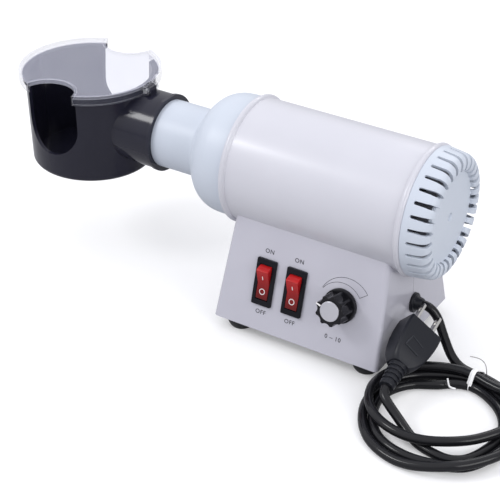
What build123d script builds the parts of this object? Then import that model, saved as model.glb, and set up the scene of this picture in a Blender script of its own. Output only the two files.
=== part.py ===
from build123d import *
import math
import os

os.makedirs("parts", exist_ok=True)

# Millimetres. X runs along the barrel, from the bowl (-X) to the air inlet (+X).
# The control panel faces -Y and +Z is up. The feet stand on Z = 0.

# Clearances
seat_gap = 0.1          # between pieces that are assembled and stay put
run_gap = 0.05          # radial, between a pin or shaft and its hole
move_gap = 0.35         # between pieces that pass each other

# Barrel
barrel_radius = 39.1
barrel_wall = 1.2
barrel_length = 121.5
barrel_axis_height = 97.7
bead_rise = 1.6
bead_width = 4.2

# Base: two half shells on a steel plate
base_length = 115.0
base_depth = 97.7
base_wall = 2.2
base_corner_radius = 2.6
end_slope = 0.0735      # inward run of the end walls for each mm of height
panel_lean = 14.5       # degrees that the front and rear walls lean inwards
plate_thickness = 1.2
plate_slot_length = 30.0
plate_slot_width = 2.5
plate_slot_pitch = 7.0
plate_slot_count = 5
wire_hole_radius = 6.0
wire_hole_offset = 22.0

# Feet
foot_height = 9.0
foot_radius = 9.5
foot_tread_radius = 7.0
foot_spacing_x = 89.0
foot_spacing_y = 72.0
screw_radius = 1.9
screw_head_radius = 3.4
screw_head_height = 2.2
screw_length = 14.0
screw_recess = 4.5
boss_radius = 4.2
boss_height = 12.0
boss_rib = 2.4

# Air nozzle
neck_radius = 22.0
neck_wall = 2.0
neck_insertion = 18.0
shoulder_length = 32.5
shoulder_step = 0.6     # the shoulder's largest radius below the barrel's
spigot_length = 10.0

# Inlet cap
vent_length = 16.7
vent_rim_rise = 1.0      # the rim's radius above the barrel's
vent_side_step = 0.5     # the side's radius below the barrel's
vent_side_length = 11.5
vent_round = 6.2         # from the side's radius down to the crown's
vent_crown_width = 1.4
vent_lip_round = 3.0     # from the crown's inner edge down to the dish
vent_dish_depth = 3.3
vent_wall = 2.2
vent_slot_count = 30
vent_slot_width = 2.1
vent_slot_start = 5.6
vent_slot_turn = -1.0
vent_dimple_radius = 2.6
vent_dimple_depth = 1.2

# Bowl and its collar
bowl_reach = 123.8      # from the barrel's end to the bowl's axis
bowl_radius = 42.2      # under the flange; the wall tapers to the floor
bowl_floor_radius = 40.2
bowl_wall = 2.4
bowl_floor = 2.5
bowl_drop = 33.2        # from the barrel's axis down to the bowl's underside
bowl_rise = 28.1        # and up to its rim
bowl_bottom_round = 3.5
flange_radius = 44.0
flange_height = 3.5
flange_gap_width = 48.0
notch_radius = 20.5
notch_centre_rise = 4.3
notch_turn = -5.6       # the notches' line, turned from square with the collar
collar_end = 62.3       # from the bowl's axis to the collar's mouth
collar_wall = 2.5
collar_bead = 0.8
collar_bead_width = 2.2
air_hole_radius = 20.0

# Lid
lid_radius = 46.3
lid_plate = 1.8
lid_ridge = 0.9
lid_ridge_width = 1.6
lid_skirt = 3.7
lid_skirt_wall = 1.6
bite_radius = 17.7
bite_centre = 46.0
hinge_reach = 47.4      # from the bowl's axis to the hinge pin
hinge_drop = 0.6        # the pin's axis below the bowl's rim
hinge_pin_radius = 1.3
hinge_ear_radius = 2.6
hinge_post_width = 6.0
hinge_ear_width = 2.4

# Rocker switches, measured on the panel: x from its middle, up from its lower edge
power_switch_x = -25.5
heat_switch_x = -4.6
switch_up = 32.0
bezel_width = 13.6
bezel_height = 30.2
bezel_proud = 1.8
bezel_round = 0.9
rocker_width = 8.1
rocker_half_length = 9.9
rocker_valley = 2.9
rocker_throw = 26.0     # degrees between off and on
rocker_keel = 3.6
rocker_flank_angle = 6.0  # how far the rocker's round ends reach below its pivot, in degrees
rocker_flush = 0.2
rocker_cavity = 6.8
trunnion_radius = 1.25
trunnion_length = 0.9
switch_side_wall = 1.1
switch_end_wall = 1.5
switch_depth = 15.0
terminal_width = 4.8
terminal_thickness = 0.8
terminal_length = 8.0
terminal_pitch = 7.2

# Speed control
knob_x = 27.1
knob_up = 33.9
knob_base_radius = 10.8
knob_skirt = 3.0
knob_face_radius = 9.8
knob_height = 15.4
knob_flute_count = 9
knob_flute_radius = 3.4
knob_flute_depth = 1.6
knob_recess_radius = 7.2
knob_recess_depth = 4.7
knob_pointer_angle = 164.6
knob_pointer_width = 1.0
knob_pointer_length = 3.0
knob_pointer_depth = 0.4
cap_radius = 6.2
cap_thickness = 1.8
cap_proud = 0.3
control_radius = 8.2
control_depth = 9.0
bush_radius = 3.5
bush_length = 6.6
control_shaft_radius = 3.0
control_shaft_length = 15.0
control_shaft_depth = 2.5
nut_across_flats = 10.0
nut_thickness = 2.0
washer_radius = 6.0
washer_thickness = 0.6

# Heater and blower
motor_radius = 17.5
motor_length = 40.0
motor_shift = 10.75     # from the base's middle to the motor's
bracket_ring = 2.6
bracket_width = 12.0
bracket_arm = 3.0
bracket_foot_width = 10.0
bracket_foot_thickness = 2.0
bracket_screw_radius = 1.5
bracket_screw_head_radius = 2.8
bracket_screw_head = 1.2
bracket_screw_length = 5.0
bracket_screw_spacing = 6.6
shaft_radius = 1.6
shaft_reach = 16.0
fan_tip_gap = 4.9       # between the blade tips and the barrel's bore
fan_hub_radius = 8.0
fan_hub_length = 11.0
fan_standoff = 4.0
fan_blade_count = 7
fan_blade_thickness = 1.4
fan_blade_chord = 13.0
fan_blade_pitch = 38.0
card_thickness = 0.8
card_edge_gap = 9.9     # between the cards' edges and the barrel's bore
card_length = 38.0
wire_radius = 0.6
wire_bend = 2.0
wire_pitch = 4.2
wire_turns = 7
card_tab = 3.0
card_from_motor = 2.0
sleeve_wall = 0.6
sleeve_gap = 3.0
cutout_radius = 5.0
cutout_height = 4.0
cutout_offset = 12.0

# Control board
board_length = 60.0
board_width = 40.0
board_thickness = 1.6
board_shift_x = -6.0
board_shift_y = 8.0
board_hole_inset = 4.0
standoff_radius = 2.75
standoff_height = 8.0
board_screw_radius = 1.45
board_screw_head_radius = 2.6
board_screw_head = 1.6
board_screw_length = 7.0
heatsink_length = 30.0
heatsink_width = 14.0
heatsink_height = 20.0
heatsink_base = 2.5
heatsink_fin = 1.4
heatsink_fin_count = 5
capacitor_size = (18.0, 8.0, 13.0)
capacitor_place = (-16.0, -9.0)
choke_radius = 7.0
choke_height = 9.0
choke_place = (16.0, 2.0)
terminal_block_size = (20.0, 9.0, 10.0)
terminal_block_place = (8.0, -14.0)
heatsink_place = (-6.0, 10.0)

# Supply cord
gland_height = 32.0
gland_neck_radius = 5.0
gland_flange_radius = 6.3
gland_flange = 2.2
gland_nose_radius = 4.6
gland_tip_radius = 3.5
gland_nose = 4.4
gland_inside = 12.0
cord_radius = 2.9
lead_exit_run = 10.2
lead_route = [
    (159.2, 3.8, 28.8),
    (166.6, 1.4, 19.6),
    (174.2, -5.8, 11.8),
    (180.2, -11.6, 8.9),
]
tail_exit_run = 20.0
tail_route = [
    (161.5, -95.0, 6.5),
]
coil_centre = (184.4, -56.8)
coil_radius = 50.2
coil_hole_centre = (182.1, -56.6)
coil_hole_radius = 29.4
coil_height = 12.0
coil_round = 4.5
tie_angle = 90.0
tie_width = 4.0
tie_thickness = 0.8

# Plug, lying on the coil
plug_face_point = (148.15, -17.4, 29.8)
plug_axis = (-0.022, 0.960, 0.279)
plug_side = (0.745, 0.202, -0.636)
plug_sections = [
    (0.0, 23.6, 15.6, 1.4),
    (4.0, 24.2, 16.2, 1.8),
    (12.0, 23.6, 16.4, 1.8),
    (20.0, 21.4, 16.0, 2.0),
    (26.0, 18.6, 14.4, 2.6),
    (31.0, 13.2, 12.6, 4.5),
]
boot_length = 16.0
boot_radius = 5.9
boot_tip_radius = 4.6
boot_groove = 0.8
boot_groove_width = 1.6
boot_groove_pitch = 3.1
boot_groove_count = 4
blade_width = 6.35
blade_thickness = 1.5
blade_length = 15.6
blade_spacing = 12.7
blade_hole_radius = 1.6
blade_hole_inset = 4.5
blade_socket = 6.0

# ---- Places worked out from the sizes above ----

lean = math.radians(panel_lean)
lean_run = math.tan(lean)
overall_length = lid_radius + bowl_reach + barrel_length + vent_length
knob_front = (knob_height * math.cos(lean) + (knob_face_radius - knob_up) * math.sin(lean))
centre_y = knob_front / 2
bowl_x = -overall_length / 2 + lid_radius
barrel_start = bowl_x + bowl_reach
barrel_end = barrel_start + barrel_length
vent_end = barrel_end + vent_length
base_x = (barrel_start + barrel_end) / 2
motor_start = base_x + motor_shift - motor_length / 2
motor_end = motor_start + motor_length
bracket_x = (motor_start + motor_end) / 2
base_bottom = foot_height
front_y = centre_y - base_depth / 2
shell_rise = barrel_axis_height - barrel_radius / 2 - base_bottom
barrel_bore = barrel_radius - barrel_wall
bead_radius = barrel_radius + bead_rise
shoulder_radius = barrel_radius - shoulder_step
vent_rim_radius = barrel_radius + vent_rim_rise
vent_side_radius = barrel_radius - vent_side_step
vent_crown_radius = vent_side_radius - vent_round
vent_lip_radius = vent_crown_radius - vent_crown_width
vent_dish_radius = vent_lip_radius - vent_lip_round
bowl_bottom = barrel_axis_height - bowl_drop
bowl_top = barrel_axis_height + bowl_rise
notch_centre_height = barrel_axis_height + notch_centre_rise
hinge_height = bowl_top - hinge_drop
fan_radius = barrel_bore - fan_tip_gap
card_reach = barrel_bore - card_edge_gap

barrel_axis = Axis((0, centre_y, barrel_axis_height), (1, 0, 0))
barrel_section = Plane((0, centre_y, barrel_axis_height), x_dir=(1, 0, 0), z_dir=(0, -1, 0))
bowl_axis = Axis((bowl_x, centre_y, 0), (0, 0, 1))
bowl_section = Plane((bowl_x, centre_y, 0), x_dir=(1, 0, 0), z_dir=(0, -1, 0))
panel_normal = Vector(0, -math.cos(lean), math.sin(lean))
panel_up = Vector(0, math.sin(lean), math.cos(lean))


def across(x):
    """The plane across the barrel at x, with its origin on the barrel's axis."""
    return Plane((x, centre_y, barrel_axis_height), x_dir=(0, 1, 0), z_dir=(1, 0, 0))


def level(z, x=base_x):
    """The level plane at height z, with its origin over the base's middle."""
    return Plane((x, centre_y, z))


def on_panel(x, up, out=0.0):
    """A plane on the control panel, out along its normal; its local Y runs up the panel."""
    origin = Vector(base_x + x, front_y, base_bottom) + panel_up * up + panel_normal * out
    return Plane(origin, x_dir=(1, 0, 0), z_dir=panel_normal)


def base_length_at(rise, inset=0.0):
    return base_length - 2 * (end_slope * rise + inset)


def base_depth_at(rise, inset=0.0):
    return base_depth - 2 * (lean_run * rise + inset)


def finish(part, name):
    """Label one piece and write its STEP file."""
    part.label = name
    export_step(part, f"parts/{name}.step")


# ---- Barrel ----

with BuildPart() as barrel_tube:
    with BuildSketch(barrel_section) as barrel_profile:
        with BuildLine():
            Polyline(
                (barrel_start, barrel_bore),
                (barrel_start, bead_radius),
                (barrel_start + bead_width, bead_radius),
                (barrel_start + bead_width, barrel_radius),
                (barrel_end - bead_width, barrel_radius),
                (barrel_end - bead_width, bead_radius),
                (barrel_end, bead_radius),
                (barrel_end, barrel_bore),
                close=True,
            )
        make_face()
        bead_corners = barrel_profile.vertices().group_by(Axis.Y)[-1]
        fillet(bead_corners, (bead_radius - barrel_radius) * 0.8)
    revolve(axis=barrel_axis)
    with BuildSketch(Plane((0, centre_y, barrel_axis_height - barrel_radius - 1))):
        with Locations((base_x + wire_hole_offset, 0), (base_x - wire_hole_offset, 0)):
            Circle(wire_hole_radius)
    extrude(amount=barrel_radius / 2, mode=Mode.SUBTRACT)
    with BuildSketch(Plane((bracket_x, centre_y, barrel_axis_height - barrel_radius - 1))):
        with GridLocations(1, bracket_screw_spacing, 1, 2):
            Circle(bracket_screw_radius + seat_gap)
    extrude(amount=barrel_radius / 2, mode=Mode.SUBTRACT)
finish(barrel_tube.part, "barrel_tube")

# ---- Base shells, cut from one block ----

gland_rise = gland_height - base_bottom
end_lean = math.atan(end_slope)
gland_normal = Vector(math.cos(end_lean), 0, math.sin(end_lean))
gland_origin = Vector(base_x + base_length_at(gland_rise) / 2, centre_y, gland_height)
gland_plane = Plane(gland_origin, x_dir=(0, 1, 0), z_dir=gland_normal)
control_hole_radius = bush_radius + seat_gap
opening_width = rocker_width + 2 * (move_gap + switch_side_wall)
rocker_reach = math.hypot(
    rocker_half_length, rocker_valley + rocker_half_length * math.tan(math.radians(rocker_throw / 2))
)
window_height = 2 * (rocker_reach + move_gap)
opening_height = window_height + 2 * switch_end_wall
foot_places = GridLocations(foot_spacing_x, foot_spacing_y, 2, 2).locations
boss_top = plate_thickness + boss_height

with BuildPart() as shell_block:
    for inset, reach, mode in ((0.0, 0.0, Mode.ADD), (base_wall, 1.0, Mode.SUBTRACT)):
        with BuildSketch(level(base_bottom - reach)):
            RectangleRounded(
                base_length_at(-reach, inset), base_depth_at(-reach, inset), base_corner_radius - inset / 2
            )
        with BuildSketch(level(base_bottom + shell_rise + reach)):
            RectangleRounded(
                base_length_at(shell_rise + reach, inset),
                base_depth_at(shell_rise + reach, inset),
                base_corner_radius - inset / 2,
            )
        loft(ruled=True, mode=mode)
    rib_end = base_depth_at(boss_top) / 2 - base_wall / 3
    with BuildSketch(level(base_bottom + plate_thickness)):
        with GridLocations(foot_spacing_x, foot_spacing_y, 2, 2):
            Circle(boss_radius)
        for side in (-1, 1):
            with GridLocations(foot_spacing_x, 1, 2, 1):
                with Locations((0, side * (foot_spacing_y / 2 + rib_end) / 2)):
                    Rectangle(boss_rib, rib_end - foot_spacing_y / 2)
    extrude(amount=boss_height)
    with BuildSketch(level(base_bottom + plate_thickness)):
        with GridLocations(foot_spacing_x, foot_spacing_y, 2, 2):
            Circle(screw_radius + seat_gap)
    extrude(amount=boss_height - 2, mode=Mode.SUBTRACT)
    with BuildSketch(across(base_x)):
        Circle(barrel_radius)
    extrude(amount=base_length, both=True, mode=Mode.SUBTRACT)
    with BuildSketch(gland_plane):
        Circle(gland_neck_radius)
    extrude(amount=2 * base_wall, both=True, mode=Mode.SUBTRACT)
    for switch_x in (power_switch_x, heat_switch_x):
        with BuildSketch(on_panel(switch_x, switch_up)):
            Rectangle(opening_width + 2 * seat_gap, opening_height + 2 * seat_gap)
        extrude(amount=2 * base_wall, both=True, mode=Mode.SUBTRACT)
    with BuildSketch(on_panel(knob_x, knob_up)):
        Circle(control_hole_radius)
    extrude(amount=2 * base_wall, both=True, mode=Mode.SUBTRACT)

seam = Plane((0, centre_y, 0), x_dir=(1, 0, 0), z_dir=(0, -1, 0))
for shell_name, kept_side in (("base_front_shell", Keep.TOP), ("base_rear_shell", Keep.BOTTOM)):
    with BuildPart() as base_shell:
        add(shell_block.part)
        split(bisect_by=seam, keep=kept_side)
    finish(base_shell.part, shell_name)

# ---- Bottom plate, feet and their screws ----

with BuildPart() as bottom_plate:
    with BuildSketch(level(base_bottom)):
        RectangleRounded(
            base_length_at(plate_thickness, base_wall + seat_gap),
            base_depth_at(plate_thickness, base_wall + seat_gap),
            base_corner_radius - base_wall / 2,
        )
        with GridLocations(foot_spacing_x, foot_spacing_y, 2, 2):
            Circle(screw_radius + seat_gap, mode=Mode.SUBTRACT)
        with GridLocations(1, plate_slot_pitch, 1, plate_slot_count):
            SlotOverall(plate_slot_length, plate_slot_width, mode=Mode.SUBTRACT)
    extrude(amount=plate_thickness)
finish(bottom_plate.part, "bottom_plate")

with BuildPart() as rubber_feet:
    for place in foot_places:
        centre = level(0).origin + place.position
        foot_plane = Plane(centre, x_dir=(1, 0, 0), z_dir=(0, -1, 0))
        with BuildSketch(foot_plane):
            with BuildLine():
                Line((screw_radius + seat_gap, foot_height), (foot_radius, foot_height))
                Line((foot_radius, foot_height), (foot_radius, foot_height - 2))
                ThreePointArc(
                    (foot_radius, foot_height - 2),
                    ((foot_radius + foot_tread_radius) / 2 + 0.5, foot_height / 3),
                    (foot_tread_radius, 0),
                )
                Line((foot_tread_radius, 0), (screw_head_radius + seat_gap, 0))
                Line((screw_head_radius + seat_gap, 0), (screw_head_radius + seat_gap, screw_recess))
                Line((screw_head_radius + seat_gap, screw_recess), (screw_radius + seat_gap, screw_recess))
                Line((screw_radius + seat_gap, screw_recess), (screw_radius + seat_gap, foot_height))
            make_face()
        revolve(axis=Axis(centre, (0, 0, 1)))
finish(rubber_feet.part, "rubber_feet")

with BuildPart() as foot_screws:
    with BuildSketch(level(screw_recess - screw_head_height)):
        with GridLocations(foot_spacing_x, foot_spacing_y, 2, 2):
            Circle(screw_head_radius)
    extrude(amount=screw_head_height)
    with BuildSketch(level(screw_recess)):
        with GridLocations(foot_spacing_x, foot_spacing_y, 2, 2):
            Circle(screw_radius)
    extrude(amount=screw_length)
    slot_depth = screw_head_height / 2
    with BuildSketch(level(screw_recess - screw_head_height)):
        with GridLocations(foot_spacing_x, foot_spacing_y, 2, 2):
            Rectangle(2 * screw_head_radius - 2, slot_depth)
            Rectangle(slot_depth, 2 * screw_head_radius - 2)
    extrude(amount=slot_depth, mode=Mode.SUBTRACT)
finish(foot_screws.part, "foot_screws")

# ---- Air nozzle ----

neck_end = barrel_start - shoulder_length
collar_mouth = bowl_x + collar_end
neck_start = collar_mouth - neck_insertion
spigot_radius = barrel_bore - seat_gap

with BuildPart() as nozzle_housing:
    with BuildSketch(barrel_section):
        with BuildLine():
            Line((neck_start, neck_radius), (neck_end, neck_radius))
            ThreePointArc(
                (neck_end, neck_radius),
                (neck_end + 0.24 * shoulder_length, neck_radius + 0.61 * (shoulder_radius - neck_radius)),
                (neck_end + 0.74 * shoulder_length, shoulder_radius),
            )
            Line((neck_end + 0.74 * shoulder_length, shoulder_radius), (barrel_start, shoulder_radius))
            Line((barrel_start, shoulder_radius), (barrel_start, spigot_radius))
            Line((barrel_start, spigot_radius), (barrel_start + spigot_length, spigot_radius))
            Line(
                (barrel_start + spigot_length, spigot_radius),
                (barrel_start + spigot_length, spigot_radius - neck_wall),
            )
            Line(
                (barrel_start + spigot_length, spigot_radius - neck_wall),
                (neck_end + 0.74 * shoulder_length, spigot_radius - neck_wall),
            )
            ThreePointArc(
                (neck_end + 0.74 * shoulder_length, spigot_radius - neck_wall),
                (
                    neck_end + 0.24 * shoulder_length + neck_wall,
                    neck_radius + 0.61 * (shoulder_radius - neck_radius) - neck_wall,
                ),
                (neck_end + neck_wall / 2, neck_radius - neck_wall),
            )
            Line((neck_end + neck_wall / 2, neck_radius - neck_wall), (neck_start, neck_radius - neck_wall))
            Line((neck_start, neck_radius - neck_wall), (neck_start, neck_radius))
        make_face()
    revolve(axis=barrel_axis)
finish(nozzle_housing.part, "nozzle_housing")

# ---- Inlet cap ----

side_end = barrel_end + vent_side_length
dish_x = vent_end - vent_dish_depth
arc_middle = math.sqrt(0.5)
crown_run = (1 - arc_middle) * vent_round
lip_run = (1 - arc_middle) * vent_dish_depth
with BuildPart() as vent_cap:
    with BuildSketch(barrel_section):
        with BuildLine():
            Line((barrel_end, vent_rim_radius), (side_end, vent_side_radius))
            ThreePointArc(
                (side_end, vent_side_radius),
                (side_end + arc_middle * (vent_end - side_end), vent_side_radius - crown_run),
                (vent_end, vent_crown_radius),
            )
            Line((vent_end, vent_crown_radius), (vent_end, vent_lip_radius))
            ThreePointArc(
                (vent_end, vent_lip_radius),
                (vent_end - lip_run, vent_lip_radius - arc_middle * vent_lip_round),
                (dish_x, vent_dish_radius),
            )
            Line((dish_x, vent_dish_radius), (dish_x, 0))
            Line((dish_x, 0), (dish_x - vent_wall, 0))
            Line((dish_x - vent_wall, 0), (dish_x - vent_wall, vent_dish_radius + vent_wall))
            Line(
                (dish_x - vent_wall, vent_dish_radius + vent_wall),
                (vent_end - vent_wall, vent_crown_radius),
            )
            ThreePointArc(
                (vent_end - vent_wall, vent_crown_radius),
                (
                    side_end + arc_middle * (vent_end - vent_wall - side_end),
                    vent_side_radius - vent_wall - (1 - arc_middle) * (vent_round - vent_wall),
                ),
                (side_end, vent_side_radius - vent_wall),
            )
            Line((side_end, vent_side_radius - vent_wall), (barrel_end, spigot_radius - vent_wall))
            Line(
                (barrel_end, spigot_radius - vent_wall),
                (barrel_end - spigot_length, spigot_radius - vent_wall),
            )
            Line(
                (barrel_end - spigot_length, spigot_radius - vent_wall),
                (barrel_end - spigot_length, spigot_radius),
            )
            Line((barrel_end - spigot_length, spigot_radius), (barrel_end, spigot_radius))
            Line((barrel_end, spigot_radius), (barrel_end, vent_rim_radius))
        make_face()
    revolve(axis=barrel_axis)
    slot_reach = vent_rim_radius + vent_wall - vent_dish_radius
    with BuildSketch(across(barrel_end + vent_slot_start)):
        with PolarLocations(
            vent_dish_radius + slot_reach / 2, vent_slot_count, start_angle=180 + vent_slot_turn
        ):
            Rectangle(slot_reach, vent_slot_width)
    extrude(amount=vent_length, mode=Mode.SUBTRACT)
    with BuildSketch(across(dish_x)):
        Circle(vent_dimple_radius)
    extrude(amount=-vent_dimple_depth, mode=Mode.SUBTRACT)
finish(vent_cap.part, "vent_cap")

# ---- Bowl ----

collar_bore = neck_radius + run_gap
collar_radius = collar_bore + collar_wall
hinge_x = bowl_x + hinge_reach
hinge_plane = Plane((hinge_x, centre_y, hinge_height), x_dir=(1, 0, 0), z_dir=(0, -1, 0))
notch_sin = math.sin(math.radians(notch_turn))
notch_cos = math.cos(math.radians(notch_turn))
notch_plane = Plane((bowl_x, centre_y, 0), x_dir=(notch_cos, notch_sin, 0), z_dir=(notch_sin, -notch_cos, 0))

with BuildPart() as heat_bowl:
    with BuildSketch(bowl_section) as bowl_profile:
        with BuildLine():
            Polyline(
                (0, bowl_bottom),
                (bowl_floor_radius, bowl_bottom),
                (bowl_radius, bowl_top - flange_height),
                (flange_radius, bowl_top - flange_height + 1),
                (flange_radius, bowl_top),
                (0, bowl_top),
                close=True,
            )
        make_face()
        fillet(bowl_profile.vertices().group_by(Axis.Y)[0].sort_by(Axis.X)[-1], bowl_bottom_round)
    revolve(axis=bowl_axis)
    with BuildSketch(across(bowl_x)):
        Circle(collar_radius)
    extrude(amount=collar_end)
    with BuildSketch(across(collar_mouth - collar_bead_width)):
        Circle(collar_radius + collar_bead)
    extrude(amount=collar_bead_width)
    with BuildSketch(hinge_plane):
        Circle(hinge_ear_radius)
        with Locations((0, -hinge_ear_radius)):
            Rectangle(2 * hinge_ear_radius, 2 * hinge_ear_radius)
    extrude(amount=hinge_post_width / 2, both=True)
    with BuildSketch(Plane((bowl_x, centre_y, bowl_bottom + bowl_floor))):
        Circle(bowl_floor_radius - bowl_wall)
    with BuildSketch(Plane((bowl_x, centre_y, bowl_top - flange_height))):
        Circle(bowl_radius - bowl_wall)
    loft(mode=Mode.SUBTRACT)
    with BuildSketch(Plane((bowl_x, centre_y, bowl_top - flange_height))):
        Circle(bowl_radius - bowl_wall)
    extrude(amount=flange_height, mode=Mode.SUBTRACT)
    with BuildSketch(across(bowl_x)):
        Circle(air_hole_radius)
    extrude(amount=collar_end, mode=Mode.SUBTRACT)
    with BuildSketch(across(neck_start - seat_gap)):
        Circle(collar_bore)
    extrude(amount=collar_end, mode=Mode.SUBTRACT)
    with BuildSketch(notch_plane):
        with Locations((0, notch_centre_height)):
            Circle(notch_radius)
        with Locations((0, notch_centre_height + (bowl_top - notch_centre_height) / 2 + 1)):
            Rectangle(2 * notch_radius, bowl_top - notch_centre_height + 2)
    extrude(amount=2 * flange_radius, both=True, mode=Mode.SUBTRACT)
    with BuildSketch(Plane((bowl_x, centre_y, bowl_top - flange_height))):
        with Locations((bowl_radius, 0)):
            Rectangle(bowl_radius, flange_gap_width)
        Circle(bowl_radius, mode=Mode.SUBTRACT)
        with Locations((hinge_reach, 0)):
            Rectangle(2 * hinge_ear_radius, hinge_post_width, mode=Mode.SUBTRACT)
    extrude(amount=flange_height, mode=Mode.SUBTRACT)
    with BuildSketch(hinge_plane):
        Circle(hinge_pin_radius)
    extrude(amount=hinge_post_width, both=True, mode=Mode.SUBTRACT)
finish(heat_bowl.part, "heat_bowl")

with BuildPart() as lid_hinge_pin:
    with BuildSketch(hinge_plane):
        Circle(hinge_pin_radius)
    extrude(amount=hinge_post_width / 2 + move_gap + hinge_ear_width, both=True)
finish(lid_hinge_pin.part, "lid_hinge_pin")

# ---- Lid ----

lid_under = bowl_top + move_gap
lid_plane = Plane((bowl_x, centre_y, lid_under))
lid_top = lid_under + lid_plate
ear_inner = hinge_post_width / 2 + move_gap
ear_outer = ear_inner + hinge_ear_width
post_notch = hinge_ear_radius + move_gap

with BuildPart() as clear_lid:
    with BuildSketch(lid_plane) as lid_outline:
        Circle(lid_radius)
        with Locations((0, bite_centre), (0, -bite_centre)):
            Circle(bite_radius, mode=Mode.SUBTRACT)
    extrude(amount=lid_plate)
    with BuildSketch(lid_plane.offset(lid_plate)):
        add(lid_outline.sketch_local)
        offset(
            lid_outline.sketch_local, amount=-lid_ridge_width, kind=Kind.INTERSECTION, mode=Mode.SUBTRACT
        )
    extrude(amount=lid_ridge)
    with BuildSketch(lid_plane):
        Circle(lid_radius)
        Circle(lid_radius - lid_skirt_wall, mode=Mode.SUBTRACT)
        with Locations((0, bite_centre), (0, -bite_centre)):
            Circle(bite_radius, mode=Mode.SUBTRACT)
    extrude(amount=-lid_skirt)
    with BuildSketch(lid_plane.offset(-lid_skirt)):
        with Locations((hinge_reach, 0)):
            Rectangle(2 * post_notch, 2 * ear_inner)
    extrude(amount=lid_skirt + lid_plate + lid_ridge, mode=Mode.SUBTRACT)
    for side in (-1, 1):
        with BuildSketch(hinge_plane.offset(side * (ear_inner + ear_outer) / 2)):
            Circle(hinge_ear_radius)
            with Locations((-hinge_ear_radius, (lid_top - hinge_height) / 2)):
                Rectangle(2 * hinge_ear_radius, lid_top - hinge_height)
        extrude(amount=hinge_ear_width / 2, both=True)
    with BuildSketch(hinge_plane):
        Circle(hinge_pin_radius + run_gap)
    extrude(amount=ear_outer + 1, both=True, mode=Mode.SUBTRACT)
finish(clear_lid.part, "clear_lid")

# ---- Blower motor and fan ----

with BuildPart() as motor_body:
    with BuildSketch(across(motor_start)):
        Circle(motor_radius)
        Circle(shaft_radius + run_gap, mode=Mode.SUBTRACT)
    extrude(amount=motor_length)
    fillet(motor_body.edges().filter_by(GeomType.CIRCLE).sort_by(SortBy.RADIUS)[-2:], 2)
finish(motor_body.part, "motor_body")

with BuildPart() as motor_bracket:
    bracket_plane = across(bracket_x - bracket_width / 2)
    with BuildSketch(bracket_plane):
        Circle(motor_radius + bracket_ring)
        with PolarLocations((motor_radius + barrel_bore) / 2, 3, start_angle=-90):
            Rectangle(barrel_bore - motor_radius - bracket_foot_thickness, bracket_arm)
        with PolarLocations(barrel_bore - bracket_foot_thickness, 3, start_angle=-90):
            Rectangle(2 * bracket_foot_thickness, bracket_foot_width)
        Circle(barrel_bore - seat_gap, mode=Mode.INTERSECT)
        Circle(motor_radius, mode=Mode.SUBTRACT)
    extrude(amount=bracket_width)
    with BuildSketch(Plane((bracket_x, centre_y, barrel_axis_height - barrel_bore))):
        with GridLocations(1, bracket_screw_spacing, 1, 2):
            Circle(bracket_screw_radius + seat_gap)
    extrude(amount=2 * bracket_foot_thickness, mode=Mode.SUBTRACT)
finish(motor_bracket.part, "motor_bracket")

with BuildPart() as bracket_screws:
    screw_seat = barrel_axis_height - barrel_radius
    for radius, length in (
        (bracket_screw_head_radius, -bracket_screw_head),
        (bracket_screw_radius, bracket_screw_length),
    ):
        with BuildSketch(Plane((bracket_x, centre_y, screw_seat))):
            with GridLocations(1, bracket_screw_spacing, 1, 2):
                Circle(radius)
        extrude(amount=length)
finish(bracket_screws.part, "bracket_screws")

with BuildPart() as motor_shaft:
    with BuildSketch(across(motor_start + fan_standoff)):
        Circle(shaft_radius)
    extrude(amount=motor_length - fan_standoff + shaft_reach)
finish(motor_shaft.part, "motor_shaft")

with BuildPart() as fan_impeller:
    with BuildSketch(across(motor_end + fan_standoff)):
        Circle(fan_hub_radius)
    extrude(amount=fan_hub_length)
    fillet(fan_impeller.faces().sort_by(Axis.X)[-1].edges(), 2)
    for blade in range(fan_blade_count):
        turn = math.radians(360 / fan_blade_count * blade)
        outward = Vector(0, math.cos(turn), math.sin(turn))
        blade_root = Vector(motor_end + fan_standoff + fan_hub_length / 2, centre_y, barrel_axis_height)
        with BuildSketch(Plane(blade_root + outward * fan_hub_radius * 0.8, x_dir=(1, 0, 0), z_dir=outward)):
            Rectangle(fan_blade_chord, fan_blade_thickness, rotation=fan_blade_pitch)
        extrude(amount=fan_radius - fan_hub_radius * 0.8)
    with BuildSketch(across(motor_end + fan_standoff)):
        Circle(shaft_radius)
    extrude(amount=fan_hub_length, mode=Mode.SUBTRACT)
finish(fan_impeller.part, "fan_impeller")

# ---- Heater ----

card_end = motor_start - card_from_motor
card_start = card_end - card_length
card_middle = (card_start + card_end) / 2
sleeve_bore = card_reach + sleeve_gap

with BuildPart() as heater_cards:
    card_tabs = (
        (card_start, card_length, card_reach),
        (card_start, card_tab, barrel_bore - seat_gap),
        (card_end - card_tab, card_tab, sleeve_bore),
    )
    for start, length, reach in card_tabs:
        with BuildSketch(across(start)):
            Rectangle(2 * reach, card_thickness)
            Rectangle(card_thickness, 2 * reach)
        extrude(amount=length)
finish(heater_cards.part, "heater_cards")

with BuildPart() as heater_sleeve:
    with BuildSketch(across(card_start + card_tab + seat_gap)):
        Circle(sleeve_bore + sleeve_wall)
        Circle(sleeve_bore, mode=Mode.SUBTRACT)
    extrude(amount=card_length - card_tab - seat_gap)
finish(heater_sleeve.part, "heater_sleeve")

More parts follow.
